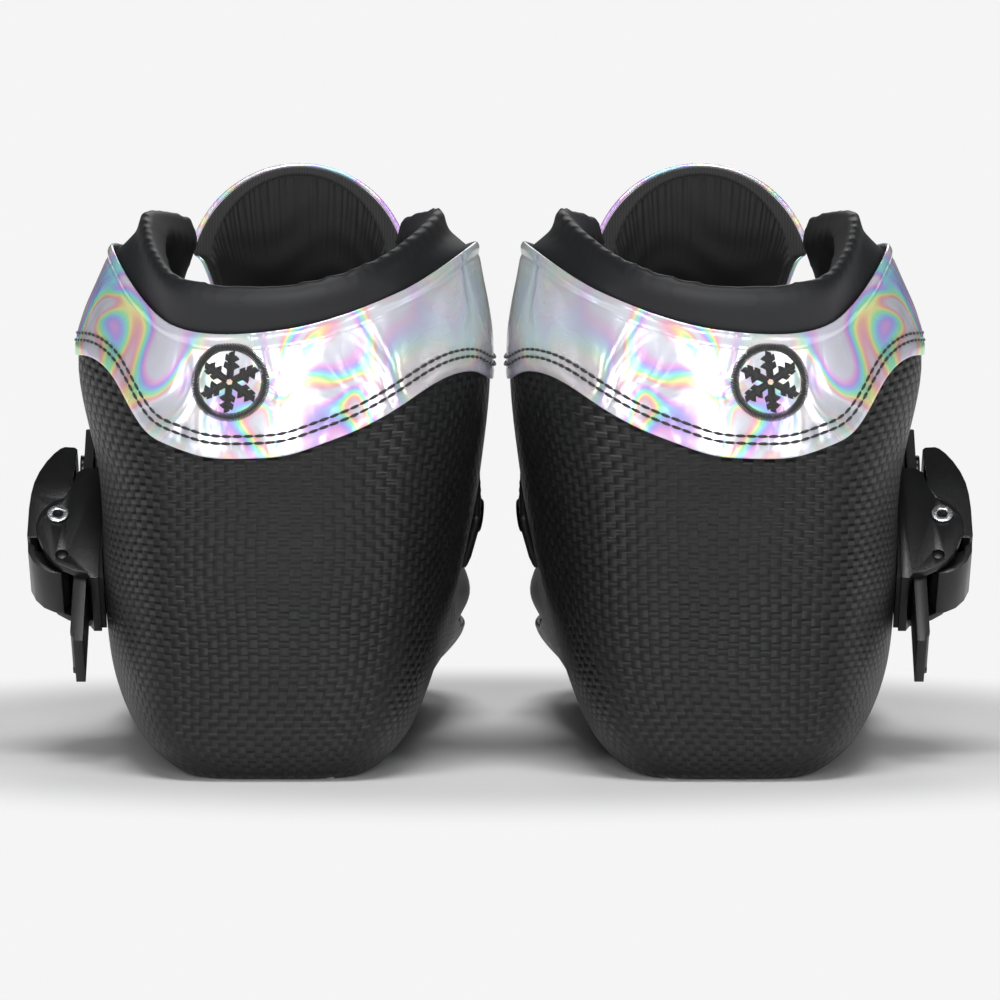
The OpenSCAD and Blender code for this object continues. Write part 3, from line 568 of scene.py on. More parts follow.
def carbon_weave():
    """Matt clear-coated plain weave: over-and-under tows with their own roughness, a painted sheen that makes
    the tows of one direction lighter, and small waves.
    """
    looks = bpy.context.scene.boot_looks
    mat, t, bsdf = shader("carbon weave", tuple(looks.carbon), 0.34, Specular_IOR_Level=0.42)
    uv = cloth_uv(t)
    where = place_of(t)
    sway = t.add("ShaderNodeTexNoise", out="Color", Vector=where, Scale=28.0, Detail=1.0)
    sway = t.add("ShaderNodeVectorMath", {"operation": "MULTIPLY_ADD"}, i0=sway, i1=(0.0035, 0.0035, 0),
                 i2=uv)
    tow = t.add("ShaderNodeVectorMath", {"operation": "MULTIPLY"}, i0=sway,
                i1=(1 / (looks.tow * MM), 1.45 / (looks.tow * MM), 0))
    split = t.add("ShaderNodeSeparateXYZ", out=None, Vector=tow)
    x, y = split.outputs["X"], split.outputs["Y"]
    fx, fy = maths(t, "FRACT", x), maths(t, "FRACT", y)
    odd = maths(t, "FLOORED_MODULO", maths(t, "ADD", maths(t, "FLOOR", x), maths(t, "FLOOR", y)), 2.0)

    def hump(f):
        return maths(t, "SINE", maths(t, "MULTIPLY", f, float(np.pi)))

    across, along = hump(fx), hump(fy)
    height = maths(t, "ADD", maths(t, "MULTIPLY", odd, across),
                   maths(t, "MULTIPLY", maths(t, "SUBTRACT", 1.0, odd), along))
    strands = maths(t, "SINE", maths(t, "MULTIPLY", maths(t, "ADD", maths(t, "MULTIPLY", odd, fy),
                    maths(t, "MULTIPLY", maths(t, "SUBTRACT", 1.0, odd), fx)), 75.0))
    shade = noise(t, where, 60.0, 2.0)
    # Painted sheen: the odd cells' tows are painted lighter than the others, standing in for the light they
    # catch; the noise adds tone that differs at random. light and dark are the two ends of this mix.
    tone = maths(t, "ADD", maths(t, "MULTIPLY", odd, 0.5), maths(t, "MULTIPLY", shade, 0.6))
    light = tuple(min(1, c * 2.2) for c in looks.carbon)
    dark = tuple(c * 0.35 for c in looks.carbon)
    wire(t, mixed(t, tone, dark, light), bsdf, "Base Color")
    wire(t, maths(t, "ADD", 0.27, maths(t, "MULTIPLY", maths(t, "ADD", odd, shade), 0.12)), bsdf,
         "Roughness")
    relief = maths(t, "ADD", height, maths(t, "MULTIPLY", strands, 0.08))
    bump(t, bsdf, relief, 0.00034, 0.9)
    return mat


# Painted reflection colours that stand in for the film's interference rainbow, in the order that they follow
# each other, with their places in one cycle.
PAINTED_RAINBOW_COLOURS = (
    (0.0, (0.70, 0.72, 0.78)),
    (0.18, (0.72, 0.70, 0.84)),
    (0.30, (0.86, 0.40, 0.80)),
    (0.40, (0.50, 0.36, 0.95)),
    (0.50, (0.30, 0.62, 0.95)),
    (0.58, (0.28, 0.86, 0.78)),
    (0.66, (0.38, 0.92, 0.42)),
    (0.74, (0.95, 0.92, 0.36)),
    (0.81, (0.98, 0.56, 0.34)),
    (0.88, (0.90, 0.42, 0.56)),
    (1.0, (0.70, 0.72, 0.78)),
)


def iridescent_trim():
    """Silver coated film; its rainbow colours, which drift over the surface and its folds, are painted
    reflection colours standing in for thin-film interference.
    """
    looks = bpy.context.scene.boot_looks
    mat, t, bsdf = shader("iridescent silver", tuple(looks.silver), 0.26, Metallic=0.35,
                          Specular_IOR_Level=0.6,
                          Coat_Weight=0.3, Coat_Roughness=0.1)
    where = t.add("ShaderNodeVectorMath", {"operation": "ABSOLUTE"}, i0=place_of(t))
    stretch = t.add("ShaderNodeMapping", Vector=where, Scale=(1.0, 0.7, 0.72), Rotation=(0.2, 0.5, 0.1))
    warp = t.add("ShaderNodeTexNoise", out="Color", Vector=stretch, Scale=34.0, Detail=1.0)
    flow = t.add("ShaderNodeVectorMath", {"operation": "MULTIPLY_ADD"}, i0=warp, i1=(0.05, 0.05, 0.05),
                 i2=stretch)
    field = noise(t, flow, 26.0, 1.5, 0.4, 0.6)
    phase = maths(t, "FRACT", maths(t, "MULTIPLY", field, 6.5))
    # Painted reflection: rainbow colours standing in for the film's interference colours, mixed over part of
    # the silver ground, which is the film's own colour.
    painted_rainbow = ramp(t, phase, PAINTED_RAINBOW_COLOURS)
    painted_rainbow_mask = ramp(t, noise(t, flow, 22.0, 1.0, 0.5, 0.3), [(0.40, 0.12), (0.60, 0.85)])
    wire(t, mixed(t, painted_rainbow_mask, tuple(looks.silver), painted_rainbow), bsdf, "Base Color")
    fold = noise(t, flow, 62.0, 2.0, 0.5, 1.0)
    fine = noise(t, where, 900.0, 2.0)
    wire(t, maths(t, "ADD", 0.16, maths(t, "MULTIPLY", fold, 0.2)), bsdf, "Roughness")
    bump(t, bsdf, maths(t, "ADD", fold, maths(t, "MULTIPLY", fine, 0.02)), 0.0014, 0.7)
    return mat


def grained(name, colour, rough, cell, depth, sheen=0.0):
    """Grained microfibre or leather."""
    mat, t, bsdf = shader(name, colour, rough, Sheen_Weight=sheen, Sheen_Roughness=0.5)
    where = place_of(t)
    grain = t.add("ShaderNodeTexVoronoi", {"feature": "SMOOTH_F1"}, out="Distance", Vector=where,
                  Scale=1 / cell)
    cloud = noise(t, where, 45.0, 3.0)
    wire(t, mixed(t, cloud, tuple(c * 0.75 for c in colour), tuple(min(1, c * 1.35) for c in colour)), bsdf,
         "Base Color")
    wire(t, maths(t, "ADD", rough - 0.1, maths(t, "MULTIPLY", cloud, 0.2)), bsdf, "Roughness")
    bump(t, bsdf, maths(t, "ADD", grain, maths(t, "MULTIPLY", noise(t, where, 3 / cell, 2.0), 0.4)),
         depth, 0.6)
    return mat


def napped(name, colour, rough=0.85, fibre=2600.0, depth=0.00012, sheen=0.25):
    """Suede or soft knitted cloth with a short nap."""
    mat, t, bsdf = shader(name, colour, rough, Sheen_Weight=sheen, Sheen_Roughness=0.45)
    where = place_of(t)
    fuzz = noise(t, where, fibre, 3.0, 0.7)
    patch = noise(t, where, 60.0, 2.0)
    tone = maths(t, "ADD", maths(t, "MULTIPLY", fuzz, 0.5), maths(t, "MULTIPLY", patch, 0.5))
    wire(t, mixed(t, tone, tuple(c * 0.6 for c in colour), tuple(min(1, c * 1.6) for c in colour)), bsdf,
         "Base Color")
    bump(t, bsdf, fuzz, depth, 0.7)
    return mat


def collar_cloth():
    looks = bpy.context.scene.boot_looks
    return napped("collar cloth", tuple(looks.padding), 0.55, 1500.0, 0.00004, 0.02)


def suede_lining():
    return napped("suede lining", (0.005, 0.005, 0.0055), 0.9, 900.0, 0.00025, 0.03)


def tongue_cloth():
    return napped("tongue cloth", (0.0045, 0.0045, 0.0048), 0.62, 1500.0, 0.00008, 0.04)


def insole_cloth():
    return napped("insole cloth", (0.03, 0.03, 0.033), 0.9, 1200.0, 0.0002, 0.2)


def black_microfibre():
    return grained("black microfibre", (0.009, 0.009, 0.010), 0.5, 0.0011, 0.00012, 0.03)


def woven_tape():
    """Ribbed binding tape."""
    mat, t, bsdf = shader("woven tape", (0.008, 0.008, 0.009), 0.75, Sheen_Weight=0.2)
    where = place_of(t)
    rib = t.add("ShaderNodeTexWave", {"wave_type": "BANDS", "bands_direction": "X"}, out="Fac",
                Vector=where,
                Scale=420.0, Distortion=0.6, Detail=1.0)
    wire(t, ramp(t, rib, [(0.2, 0.004), (0.9, 0.016)]), bsdf, "Base Color")
    bump(t, bsdf, rib, 0.0001, 0.6)
    return mat


def thread():
    """Twisted polyester thread."""
    mat, t, bsdf = shader("black thread", (0.006, 0.006, 0.007), 0.45, Sheen_Weight=0.3)
    twist = noise(t, place_of(t), 2500.0, 2.0)
    wire(t, ramp(t, twist, [(0.3, 0.003), (0.7, 0.014)]), bsdf, "Base Color")
    bump(t, bsdf, twist, 0.00008, 0.6)
    return mat


def moulded(name, colour, rough, fleck=0.5):
    """Moulded plastic with a fine spark texture."""
    mat, t, bsdf = shader(name, colour, rough, Specular_IOR_Level=0.5)
    where = place_of(t)
    grain = noise(t, where, 1700.0, 2.0, 0.6)
    worn = noise(t, where, 130.0, 3.0)
    tone = maths(t, "ADD", maths(t, "MULTIPLY", grain, fleck), maths(t, "MULTIPLY", worn, 1 - fleck))
    wire(t, mixed(t, tone, tuple(c * 0.5 for c in colour), tuple(min(1, c * 1.8) for c in colour)), bsdf,
         "Base Color")
    wire(t, maths(t, "ADD", rough - 0.08, maths(t, "MULTIPLY", grain, 0.2)), bsdf, "Roughness")
    bump(t, bsdf, grain, 0.00006, 0.5)
    return mat


def buckle_plastic():
    looks = bpy.context.scene.boot_looks
    return moulded("buckle plastic", tuple(looks.buckle), 0.30)


def strap_plastic():
    return moulded("strap plastic", (0.008, 0.008, 0.0085), 0.42, 0.7)


def spacer_rubber():
    return moulded("spacer rubber", (0.007, 0.007, 0.007), 0.75, 0.7)


def metal(name, colour, rough, brush=0.12):
    """Turned or brushed metal."""
    mat, t, bsdf = shader(name, colour, rough, Metallic=1.0)
    where = place_of(t)
    lines = t.add("ShaderNodeMapping", Vector=where, Scale=(1.0, 1.0, 9.0))
    scratch = noise(t, lines, 900.0, 3.0, 0.6)
    wire(t, mixed(t, scratch, tuple(c * 0.8 for c in colour), tuple(min(1, c * 1.1) for c in colour)), bsdf,
         "Base Color")
    wire(t, maths(t, "ADD", rough - brush / 2, maths(t, "MULTIPLY", scratch, brush)), bsdf, "Roughness")
    bump(t, bsdf, scratch, 0.00003, 0.4)
    return mat


FINISHES = {
    "carbon": carbon_weave,
    "silver": iridescent_trim,
    "microfibre": black_microfibre,
    "collar": collar_cloth,
    "suede": suede_lining,
    "tongue": tongue_cloth,
    "insole": insole_cloth,
    "tape": woven_tape,
    "thread": thread,
    "buckle": buckle_plastic,
    "strap": strap_plastic,
    "rubber": spacer_rubber,
    "steel": lambda: metal("satin steel", (0.62, 0.63, 0.65), 0.28),
    "black_steel": lambda: metal("black steel", (0.035, 0.035, 0.038), 0.32),
    "alloy": lambda: metal("anodised alloy", (0.42, 0.43, 0.46), 0.36),
    # A near-black finish for the openings of the eyelets and the vamp: painted shade where they open through
    # the upper.
    "hole_shade": lambda: shader("eyelet hole", (0.004, 0.004, 0.004), 0.9)[0],
}


# ---- Properties
class BootLooks(bpy.types.PropertyGroup):
    """Colours and small sizes of the boots' finishes."""

    carbon: bpy.props.FloatVectorProperty(name="Carbon", description="Colour of the carbon weave",
                                          subtype="COLOR",
                                          size=3, min=0, max=1, default=(0.0042, 0.0044, 0.0043))
    silver: bpy.props.FloatVectorProperty(name="Trim silver", description="Ground colour of the trim panel",
                                          subtype="COLOR", size=3, min=0, max=1, default=(0.60, 0.62, 0.67))
    padding: bpy.props.FloatVectorProperty(name="Collar", description="Colour of the padded collar",
                                           subtype="COLOR",
                                           size=3, min=0, max=1, default=(0.006, 0.0064, 0.0078))
    buckle: bpy.props.FloatVectorProperty(name="Buckle", description="Colour of the buckle's plastic",
                                          subtype="COLOR",
                                          size=3, min=0, max=1, default=(0.0035, 0.0036, 0.0038))
    tow: bpy.props.FloatProperty(name="Tow width", description="Width of one carbon tow in millimetres",
                                 default=2.6,
                                 min=1, max=6)


class BootSewing(bpy.types.PropertyGroup):
    """Sizes of the sewing, in millimetres."""

    pitch: bpy.props.FloatProperty(name="Stitch pitch", description="Distance between stitches",
                                   default=2.75, min=1, max=5)
    radius: bpy.props.FloatProperty(name="Thread radius", description="Radius of the sewing thread",
                                    default=0.4,
                                    min=0.1, max=0.6)
    first_row: bpy.props.FloatProperty(name="First row",
                                       description="From the trim's lower edge to the first row",
                                       default=3.3, min=1, max=6)
    second_row: bpy.props.FloatProperty(name="Second row",
                                        description="From the trim's lower edge to the second row",
                                        default=5.1, min=2, max=9)


class BootStudio(bpy.types.PropertyGroup):
    """The stage round the boots."""

    ground: bpy.props.FloatVectorProperty(name="Ground", description="Colour of the floor",
                                          subtype="COLOR", size=3,
                                          min=0, max=1, default=(0.93, 0.93, 0.93))
    backdrop: bpy.props.FloatVectorProperty(name="Backdrop", description="Tone behind the boots",
                                            subtype="COLOR",
                                            size=3, min=0, max=1, default=(0.913, 0.913, 0.913))
    fill: bpy.props.FloatProperty(name="Fill", description="Strength of the even light from all sides",
                                  default=0.06,
                                  min=0, max=2)
    distance: bpy.props.FloatProperty(name="Camera distance", description="From the heels to the camera",
                                      default=1.5, min=0.5, max=5, unit="LENGTH")
    elevation: bpy.props.FloatProperty(name="Camera elevation",
                                       description="Height of the camera above the horizon",
                                       default=float(np.radians(3)), min=0, max=1.5, subtype="ANGLE")
    aim_height: bpy.props.FloatProperty(name="Aim height",
                                        description="Height that the camera looks at", default=0.070,
                                        min=0, max=0.3, unit="LENGTH")
    lens: bpy.props.FloatProperty(name="Lens", description="Focal length in millimetres", default=221.4,
                                  min=20, max=400)


PITCH_COLS = 14    # columns of the fine meshes for each station


def columns(start, end, steps=PITCH_COLS):
    return np.linspace(start, end, int(round((end - start) * steps)) + 1)


# ---- Shell
class BOOTS_OT_shell(bpy.types.Operator):
    """Make the carbon shells"""

    bl_idname = "boots.shell"
    bl_label = "Carbon shell"

    def execute(self, context):
        n = STATIONS * PITCH_COLS
        u = np.arange(n) / PITCH_COLS
        top = edge_at(u, SHELL_EDGE)
        outer_rows, inner_rows, fillet = 46, 26, 6
        low = 0.30
        rows, heights = [], []
        base = over(u, 0 * u, 0)
        middle = np.array([2.0, 120.0, 0])
        inward = unit((middle - base) * [1, 0.25, 0])
        start = base + inward * 4.0
        start[:, 2] = np.minimum(start[:, 2], base[:, 2])
        end = over(u, low + 0 * u, 0)
        for s in np.linspace(0, 1, fillet, endpoint=False):
            rows.append((1 - s) ** 2 * start + 2 * s * (1 - s) * base + s * s * end)
            heights.append(low * s + 0 * u)
        for s in np.linspace(0, 1, outer_rows):
            rows.append(over(u, low + (top - low) * s, SHELL[0]))
            heights.append(low + (top - low) * s)
        wall = (SHELL[0] - SHELL[1]) / 2
        rise = np.linalg.norm(slopes(u, top)[1], axis=-1)
        for a in np.linspace(0, np.pi, 7)[1:-1]:
            rows.append(over(u, top + wall * np.sin(a) / rise, SHELL[0] - wall + wall * np.cos(a)))
            heights.append(top)
        floor = np.full(n, 0.0)
        high = np.full(n, 2.4)
        for _ in range(18):
            mid = (floor + high) / 2
            under = over(u, mid, SHELL[1])[:, 2] < FLOOR_Z
            floor, high = np.where(under, mid, floor), np.where(under, high, mid)
        for s in np.linspace(1, 0, inner_rows):
            rows.append(over(u, floor + (top - floor) * s, SHELL[1]))
            heights.append(floor + (top - floor) * s)
        count = len(rows)
        faces = ring_faces(count, n)
        last = (count - 1) * n
        for c in range(1, n // 2 - 1):
            faces.append((n - c, n - c - 1, c + 1, c))
            faces.append((last + c, last + c + 1, last + n - c - 1, last + n - c))
        faces += [(n - 1, 1, 0), (last, last + 1, last + n - 1)]
        tip = n // 2
        faces += [(tip + 1, tip, tip - 1), (last + tip - 1, last + tip, last + tip + 1)]
        ring = skin(np.append(u, STATIONS), 3.0)
        run = np.concatenate([[0], np.cumsum(np.linalg.norm(np.diff(ring, axis=0), axis=1))])[:n]
        run = np.where(u > 8, run - run[-1] - (run[-1] - run[-2]), run)
        heel = np.linspace(0, TOP, 200)
        climb = np.concatenate([[0], np.cumsum(np.linalg.norm(np.diff(skin(0 * heel, heel), axis=0),
                                                              axis=1))])
        uv = np.stack([np.broadcast_to(run, (count, n)), np.interp(np.array(heights), heel, climb)],
                      -1) * MM
        mesh = outward(mesh_of("shell", np.array(rows), faces, uv))
        ob = linked("shell", mesh)
        for part in ("mount_block_rear", "mount_block_front"):
            lo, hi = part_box(f"right_{part}")
            cut = bpy.data.meshes.new("pocket")
            bm = bmesh.new()
            bmesh.ops.create_cube(bm, size=1)
            span = np.array(hi - lo) / MM + [0.2, 0.2, 2.0]
            centre = (np.array(lo + hi) / 2 / MM) + [-BOOT_X, BOOT_Y, -1.0 + 0.05]
            bm.transform(Matrix.Translation(centre) @ Matrix.Diagonal((*span, 1)))
            bm.to_mesh(cut)
            bm.free()
            cutter = linked("pocket", cut)
            cutter.hide_render = True
            mod = ob.modifiers.new("pocket", "BOOLEAN")
            mod.object = cutter
            mod.solver = "EXACT"
        cut_mesh = applied(ob)
        for extra in [o for o in context.scene.objects if o.name.startswith("pocket")]:
            bpy.data.objects.remove(extra)
        both_boots("carbon_shell", cut_mesh, finish_named("carbon"), ("shell",))
        return {"FINISHED"}


# ---- Trim panel
def offset_row(cols, edge, distance):
    """Points at a distance above an edge line, measured square to it on the surface."""
    v = edge_at(cols, edge, closed=False)
    line = skin(cols, v)
    way = unit(np.gradient(line, axis=0))
    up = unit(np.cross(facing(cols, v), way))
    rise = np.linalg.norm(slopes(cols, v)[1], axis=-1)
    return land(line + distance * up, cols, v + distance / rise)


def trim_relief(sewing):
    """Height of the trim's small relief: rolled top edge, sewn grooves and soft wrinkles."""
    rows = (sewing.first_row, sewing.second_row)

    def relief(u, v, from_low, from_top):
        p = skin(u, v)
        roll = 0.45 * np.exp(-((from_top - 1.0) / 1.1) ** 2) - 0.25 * np.exp(-((from_top - 3.0) / 0.6) ** 2)
        sewn = 0
        for row in rows:
            gap = from_low - row
            sewn = sewn - 0.16 * np.exp(-(gap / 0.55) ** 2)
        pucker = np.exp(-((from_low - sum(rows) / 2) / 3.0) ** 2) * 0.10 * ripple(p, 3.0, 11)
        calm = np.clip(from_low / 3, 0, 1) * np.clip(from_top / 2, 0, 1)
        folds = 0.20 * ripple(p * [1, 1, 0.55], 17.0, 5) + 0.07 * ripple(p * [1, 1, 0.7], 7.0, 8)
        lip = -0.15 * np.exp(-(from_low / 0.8) ** 2)
        return roll + sewn + pucker + calm * folds + lip

    return relief


def evened(edge, reach=0.14):
    """The same edge line with its corners rounded off."""
    x = np.linspace(-3.6, 3.6, 361)
    y = edge_at(np.clip(x, edge[0][0], edge[-1][0]), edge, closed=False)
    weight = np.exp(-(np.arange(-20, 21) * (x[1] - x[0]) / reach) ** 2)
    y = np.convolve(np.pad(y, 20, mode="edge"), weight / weight.sum(), mode="valid")
    return list(zip(x, y))


class BOOTS_OT_trim(bpy.types.Operator):
    """Make the silver trim panels and their sewing"""

    bl_idname = "boots.trim"
    bl_label = "Trim panel"

    def execute(self, context):
        sewing = context.scene.boot_sewing
        cols = columns(-3, 3, 40)
        lower = evened(TRIM_EDGE)
        mesh = layer_mesh("trim", cols, lower, [(-3, TOP), (3, TOP)], TRIM, 44, trim_relief(sewing), 6)
        both_boots("silver_trim", mesh, finish_named("silver"), ("trim_panel",))
        paths = []
        dense = columns(-2.96, 2.96, 60)
        for row in (sewing.first_row, sewing.second_row):
            u, v = offset_row(dense, lower, row)
            keep = (np.abs(u) < 2.95) & (v < TOP - 0.05)
            paths.append(over(u[keep], v[keep], TRIM[0] + sewing.radius * 0.35))
        mesh = stitches(paths, finish_named("thread"), sewing.pitch, sewing.pitch * 1.02, sewing.radius)
        both_boots("trim_sewing", mesh, None)
        return {"FINISHED"}


# ---- Upper
UPPER_LOW = [(-8, 1.35), (16, 1.35)]
UPPER_HIGH = [(-8, 5.95), (-3.25, 5.95), (-3, 5.4), (-2, 5.4), (2, 5.4), (3, 5.4), (3.25, 5.95), (8, 5.95),
              (12.75, 5.95), (13, 5.4), (14, 5.4)]
EYELET_US = (3.4, 4, 4.55, 5.1, 5.65, 6.2)
EYELET_V = 5.62


class BOOTS_OT_upper(bpy.types.Operator):
    """Make the quarters, the vamp, the eyelet stays and the eyelets"""

    bl_idname = "boots.upper"
    bl_label = "Upper"

    def execute(self, context):
        def seam_roll(u, v, from_low, from_top):
            p = skin(u, v)
            return 0.10 * ripple(p, 24.0, 3) - 0.25 * np.exp(-(from_top / 0.8) ** 2)

        for name, start, end in (("quarter_outer", 2, 5.985), ("vamp", 6.015, 9.985),
                                 ("quarter_inner", 10.015, 14)):
            mesh = layer_mesh(name, columns(start, end), UPPER_LOW, UPPER_HIGH, UPPER, 36, seam_roll)
            both_boots(f"{name}_sheet", mesh, finish_named("microfibre"), (name,))
        for name, start, end in (("outer", 3.25, 6.95), ("inner", 9.05, 12.75)):
            mesh = layer_mesh("stay", columns(start, end, 24), [(0, 5.2), (16, 5.2)],
                              [(0, 5.98), (16, 5.98)], STAY, 10)
            nodes = ("eyelet_stays",) if name == "outer" else ()
            both_boots(f"eyelet_stay_{name}", mesh, finish_named("silver"), nodes)
        rows = []
        for start, end in ((3.3, 6.9), (9.1, 12.7)):
            u = columns(start, end, 30)
            rows.append(over(u, 5.26 + 0 * u, STAY[0] + 0.1))
        for u0 in (5.93, 6.07, 9.93, 10.07):
            v = np.linspace(1.9, 5.1, 60)
            rows.append(over(u0 + 0 * v, v, UPPER[0] + 0.1))
        mesh = stitches(rows, finish_named("thread"), 2.4, 2.1, 0.3)
        both_boots("upper_sewing", mesh, None)
        self.eyelets()
        self.holes()
        return {"FINISHED"}

    def eyelets(self):
        """Rolled metal rings, each with a near-black disc inside it as painted shade in its opening."""
        u = np.array(EYELET_US + tuple(STATIONS - k for k in EYELET_US))
        v = EYELET_V + 0 * u
        at, up = over(u, v, STAY[0] + 0.6), facing(u, v)
        along = unit(slopes(u, v)[0])
        ring = turned("ring", [(1.9, -0.6), (1.8, 0.35), (2.05, 0.62), (2.6, 0.7), (3.1, 0.58),
                               (3.4, 0.3), (3.4, -0.6),
                               (1.9, -0.6)], 28)
        mesh = scattered(at, up, along, (1, 1, 1), ring, finish_named("black_steel"))
        both_boots("eyelet_rings", mesh, None, ("eyelets",))
        # A near-black disc inside each ring, painted shade where the eyelet opens through the stay.
        hole_shade = turned("hole_shade", [(0.01, -0.45), (1.0, -0.45), (1.85, -0.42), (1.85, -0.5), (0.01, -0.5)], 16)
        mesh = scattered(at, up, along, (1, 1, 1), hole_shade, finish_named("hole_shade"))
        both_boots("eyelet_holes", mesh, None)

    def holes(self):
        """Rows of small breathing holes in the vamp, each drawn as a near-black dot of painted shade."""
        at, up, along = [], [], []
        for k, v0 in enumerate(np.linspace(3.2, 4.7, 7)):
            u = 8 + (np.arange(-7, 8) + 0.5 * (k % 2)) * 0.19
            v = v0 + 0 * u
            at.append(over(u, v, UPPER[0] + 0.02))
            up.append(facing(u, v))
            along.append(unit(slopes(u, v)[0]))
        # Each dot is a near-black disc, painted shade in a perforation.
        dot = turned("dot", [(0.01, 0.06), (0.45, 0.05), (0.6, 0.0), (0.45, -0.2), (0.01, -0.2)], 10)
        mesh = scattered(np.concatenate(at), np.concatenate(up), np.concatenate(along), (1, 1, 1), dot,
                         finish_named("hole_shade"))
        both_boots("vamp_holes", mesh, None)


# ---- Collar, lining, insole
RIM = np.array([(-29, 96, 138), (-38.5, 58, 140), (-24, 15, 128.5), (0, 6, 122),
                (28, 16, 124.5), (37.5, 58, 139.5), (28, 96, 138)], float)
COLLAR_T = 7.5
COLLAR_U = 2.97


def rim_at(u):
    """The collar's top line at stations from -3 to 3."""
    k = np.clip(np.floor(u + 3).astype(int), 0, 5)
    pick = [RIM[np.clip(k + d, 0, 6)] for d in (-1, 0, 1, 2)]
    return spline(*pick, (u + 3 - k)[:, None])


def collar_sections(u):
    """Cross-sections of the padded collar, with a round rim."""
    outline = rim_at(u)
    out = facing(u, 5.9 + 0 * u) * [1, 1, 0]
    out = unit(out)
    up = np.array([0, 0, 1.0])

    thick = (COLLAR_T * np.interp(np.abs(u), (1, 2, 3), (1, 0.85, 0.62)))[:, None]

    def at(v, d):
        return over(u, v + 0 * u, np.ravel(d) + 0 * u)

    marks = [
        at(4.85, -4.5), at(5.2, -4.2), at(5.5, -4.05), at(5.8, -2.2), at(5.95, -0.5),
        outline + out * 0.9 - up * 4,
        outline + out * 0.8 - up * 1.6,
        outline + out * 0.2 - up * 0.1,
        outline - out * 0.8 + up * 0.8,
        outline - out * 1.9 + up * 0.6,
        outline - out * 3.0 - up * 0.5,
        outline - out * thick * 0.7 - up * 2.6,
        outline - out * thick - up * 6,
        at(5.3, -thick - 0.8), at(4.95, -thick - 1), at(4.65, -thick - 0.9), at(4.4, (-4.05 - thick) / 2),
    ]
    return np.stack(marks, 1)


def smoothed(mesh, factor, times):
    """Evens out a mesh a little."""
    bm = bmesh.new()
    bm.from_mesh(mesh)
    for _ in range(times):
        bmesh.ops.smooth_vert(bm, verts=bm.verts, factor=factor, use_axis_x=True, use_axis_y=True,
                              use_axis_z=True)
    bm.to_mesh(mesh)
    bm.free()
    return mesh


def puffed(mesh, voxel, pressure, cap, name):
    """Inflates a closed mesh as a cloth skin over its stuffing, moving no point further than cap."""
    ob = linked(name, mesh)
    remesh = ob.modifiers.new("even", "REMESH")
    remesh.mode = "VOXEL"
    remesh.voxel_size = voxel
    mesh = applied(ob)
    ob = linked(name, mesh)
    rest = np.array([v.co for v in mesh.vertices])
    scene = bpy.context.scene
    cloth = ob.modifiers.new("stuffing", "CLOTH")
    cloth.settings.use_pressure = True
    cloth.settings.uniform_pressure_force = pressure
    cloth.settings.effector_weights.gravity = 0
    cloth.settings.tension_stiffness = 30
    cloth.settings.bending_stiffness = 4
    cloth.point_cache.frame_start, cloth.point_cache.frame_end = 1, 20
    for step in range(1, 21):
        scene.frame_set(step)
    graph = bpy.context.evaluated_depsgraph_get()
    moved = np.array([v.co for v in ob.evaluated_get(graph).data.vertices])
    ob.modifiers.clear()
    scene.frame_set(1)
    shift = moved - rest
    length = np.linalg.norm(shift, axis=1, keepdims=True)
    rest = rest + shift * np.minimum(1, cap / np.maximum(length, 1e-9))
    mesh.vertices.foreach_set("co", rest.ravel())
    mod = ob.modifiers.new("soft", "SUBSURF")
    mod.levels = mod.render_levels = 1
    return applied(ob)


class BOOTS_OT_collar(bpy.types.Operator):
    """Make the padded collars"""

    bl_idname = "boots.collar"
    bl_label = "Padded collar"

    def execute(self, context):
        u = columns(-COLLAR_U, COLLAR_U, 12)
        sections = collar_sections(u)
        mesh = outward(lofted("collar", sections))
        mesh.transform(Matrix.Scale(MM, 4))
        mesh = puffed(mesh, 0.0015, 3.0, 0.0005, "collar")
        mesh.transform(Matrix.Scale(1 / MM, 4))
        smoothed(mesh, 0.5, 3)
        mesh.shade_smooth()
        both_boots("padded_collar", mesh, finish_named("collar"), ("collar",))
        return {"FINISHED"}


class BOOTS_OT_lining(bpy.types.Operator):
    """Make the suede lining and the insole"""

    bl_idname = "boots.lining"
    bl_label = "Lining and insole"

    def execute(self, context):
        ends = [(-6, 5.9), (-3.25, 5.9), (-3, 4.3), (3, 4.3), (3.25, 5.9), (6, 5.9)]
        mesh = layer_mesh("lining", columns(-6, 6, 10), [(-8, 1.35), (8, 1.35)], ends, LINING, 20)
        both_boots("suede_lining", mesh, finish_named("suede"), ("lining",))
        lo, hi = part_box("right_insole")
        low, high = lo.z / MM, hi.z / MM
        u = np.arange(STATIONS * 10) / 10
        ring = over(u, 1.02 + 0 * u, -3.6)
        middle = np.array([2.0, 130.0, 0])
        rows = []
        for inset, z in ((0.0, low), (0.0, high - 0.7), (0.4, high - 0.2), (1.2, high)):
            row = ring - unit((ring - middle) * [1, 1, 0]) * inset
            row[:, 2] = z
            rows.append(row)
        mesh = outward(lofted("insole", np.array(rows)))
        both_boots("cloth_insole", mesh, finish_named("insole"), ("insole",))
        return {"FINISHED"}


# ---- Tongue
TONGUE = [
    ((-1, 206, 54), (0, 0.35, 0.94), 7, 1.5, 0), ((-1, 190, 62.5), (0, 0.45, 0.89), 10.5, 4, 0),
    ((-1.5, 168, 76.5), (0, 0.5, 0.87), 14, 7, 0), ((-1.7, 146, 93.5), (0, 0.6, 0.8), 16.8, 10, 0),
    ((-2, 128, 110), (0, 0.66, 0.75), 19.5, 13, 0), ((-1.4, 117, 122), (0, 0.85, 0.53), 22, 14, 0),
    ((-1, 112, 135), (0, 0.95, 0.3), 25, 12, 6), ((-0.8, 109, 150.5), (0, 0.97, 0.24), 27, 9, 20)]
TONGUE_BEND = np.radians(80)


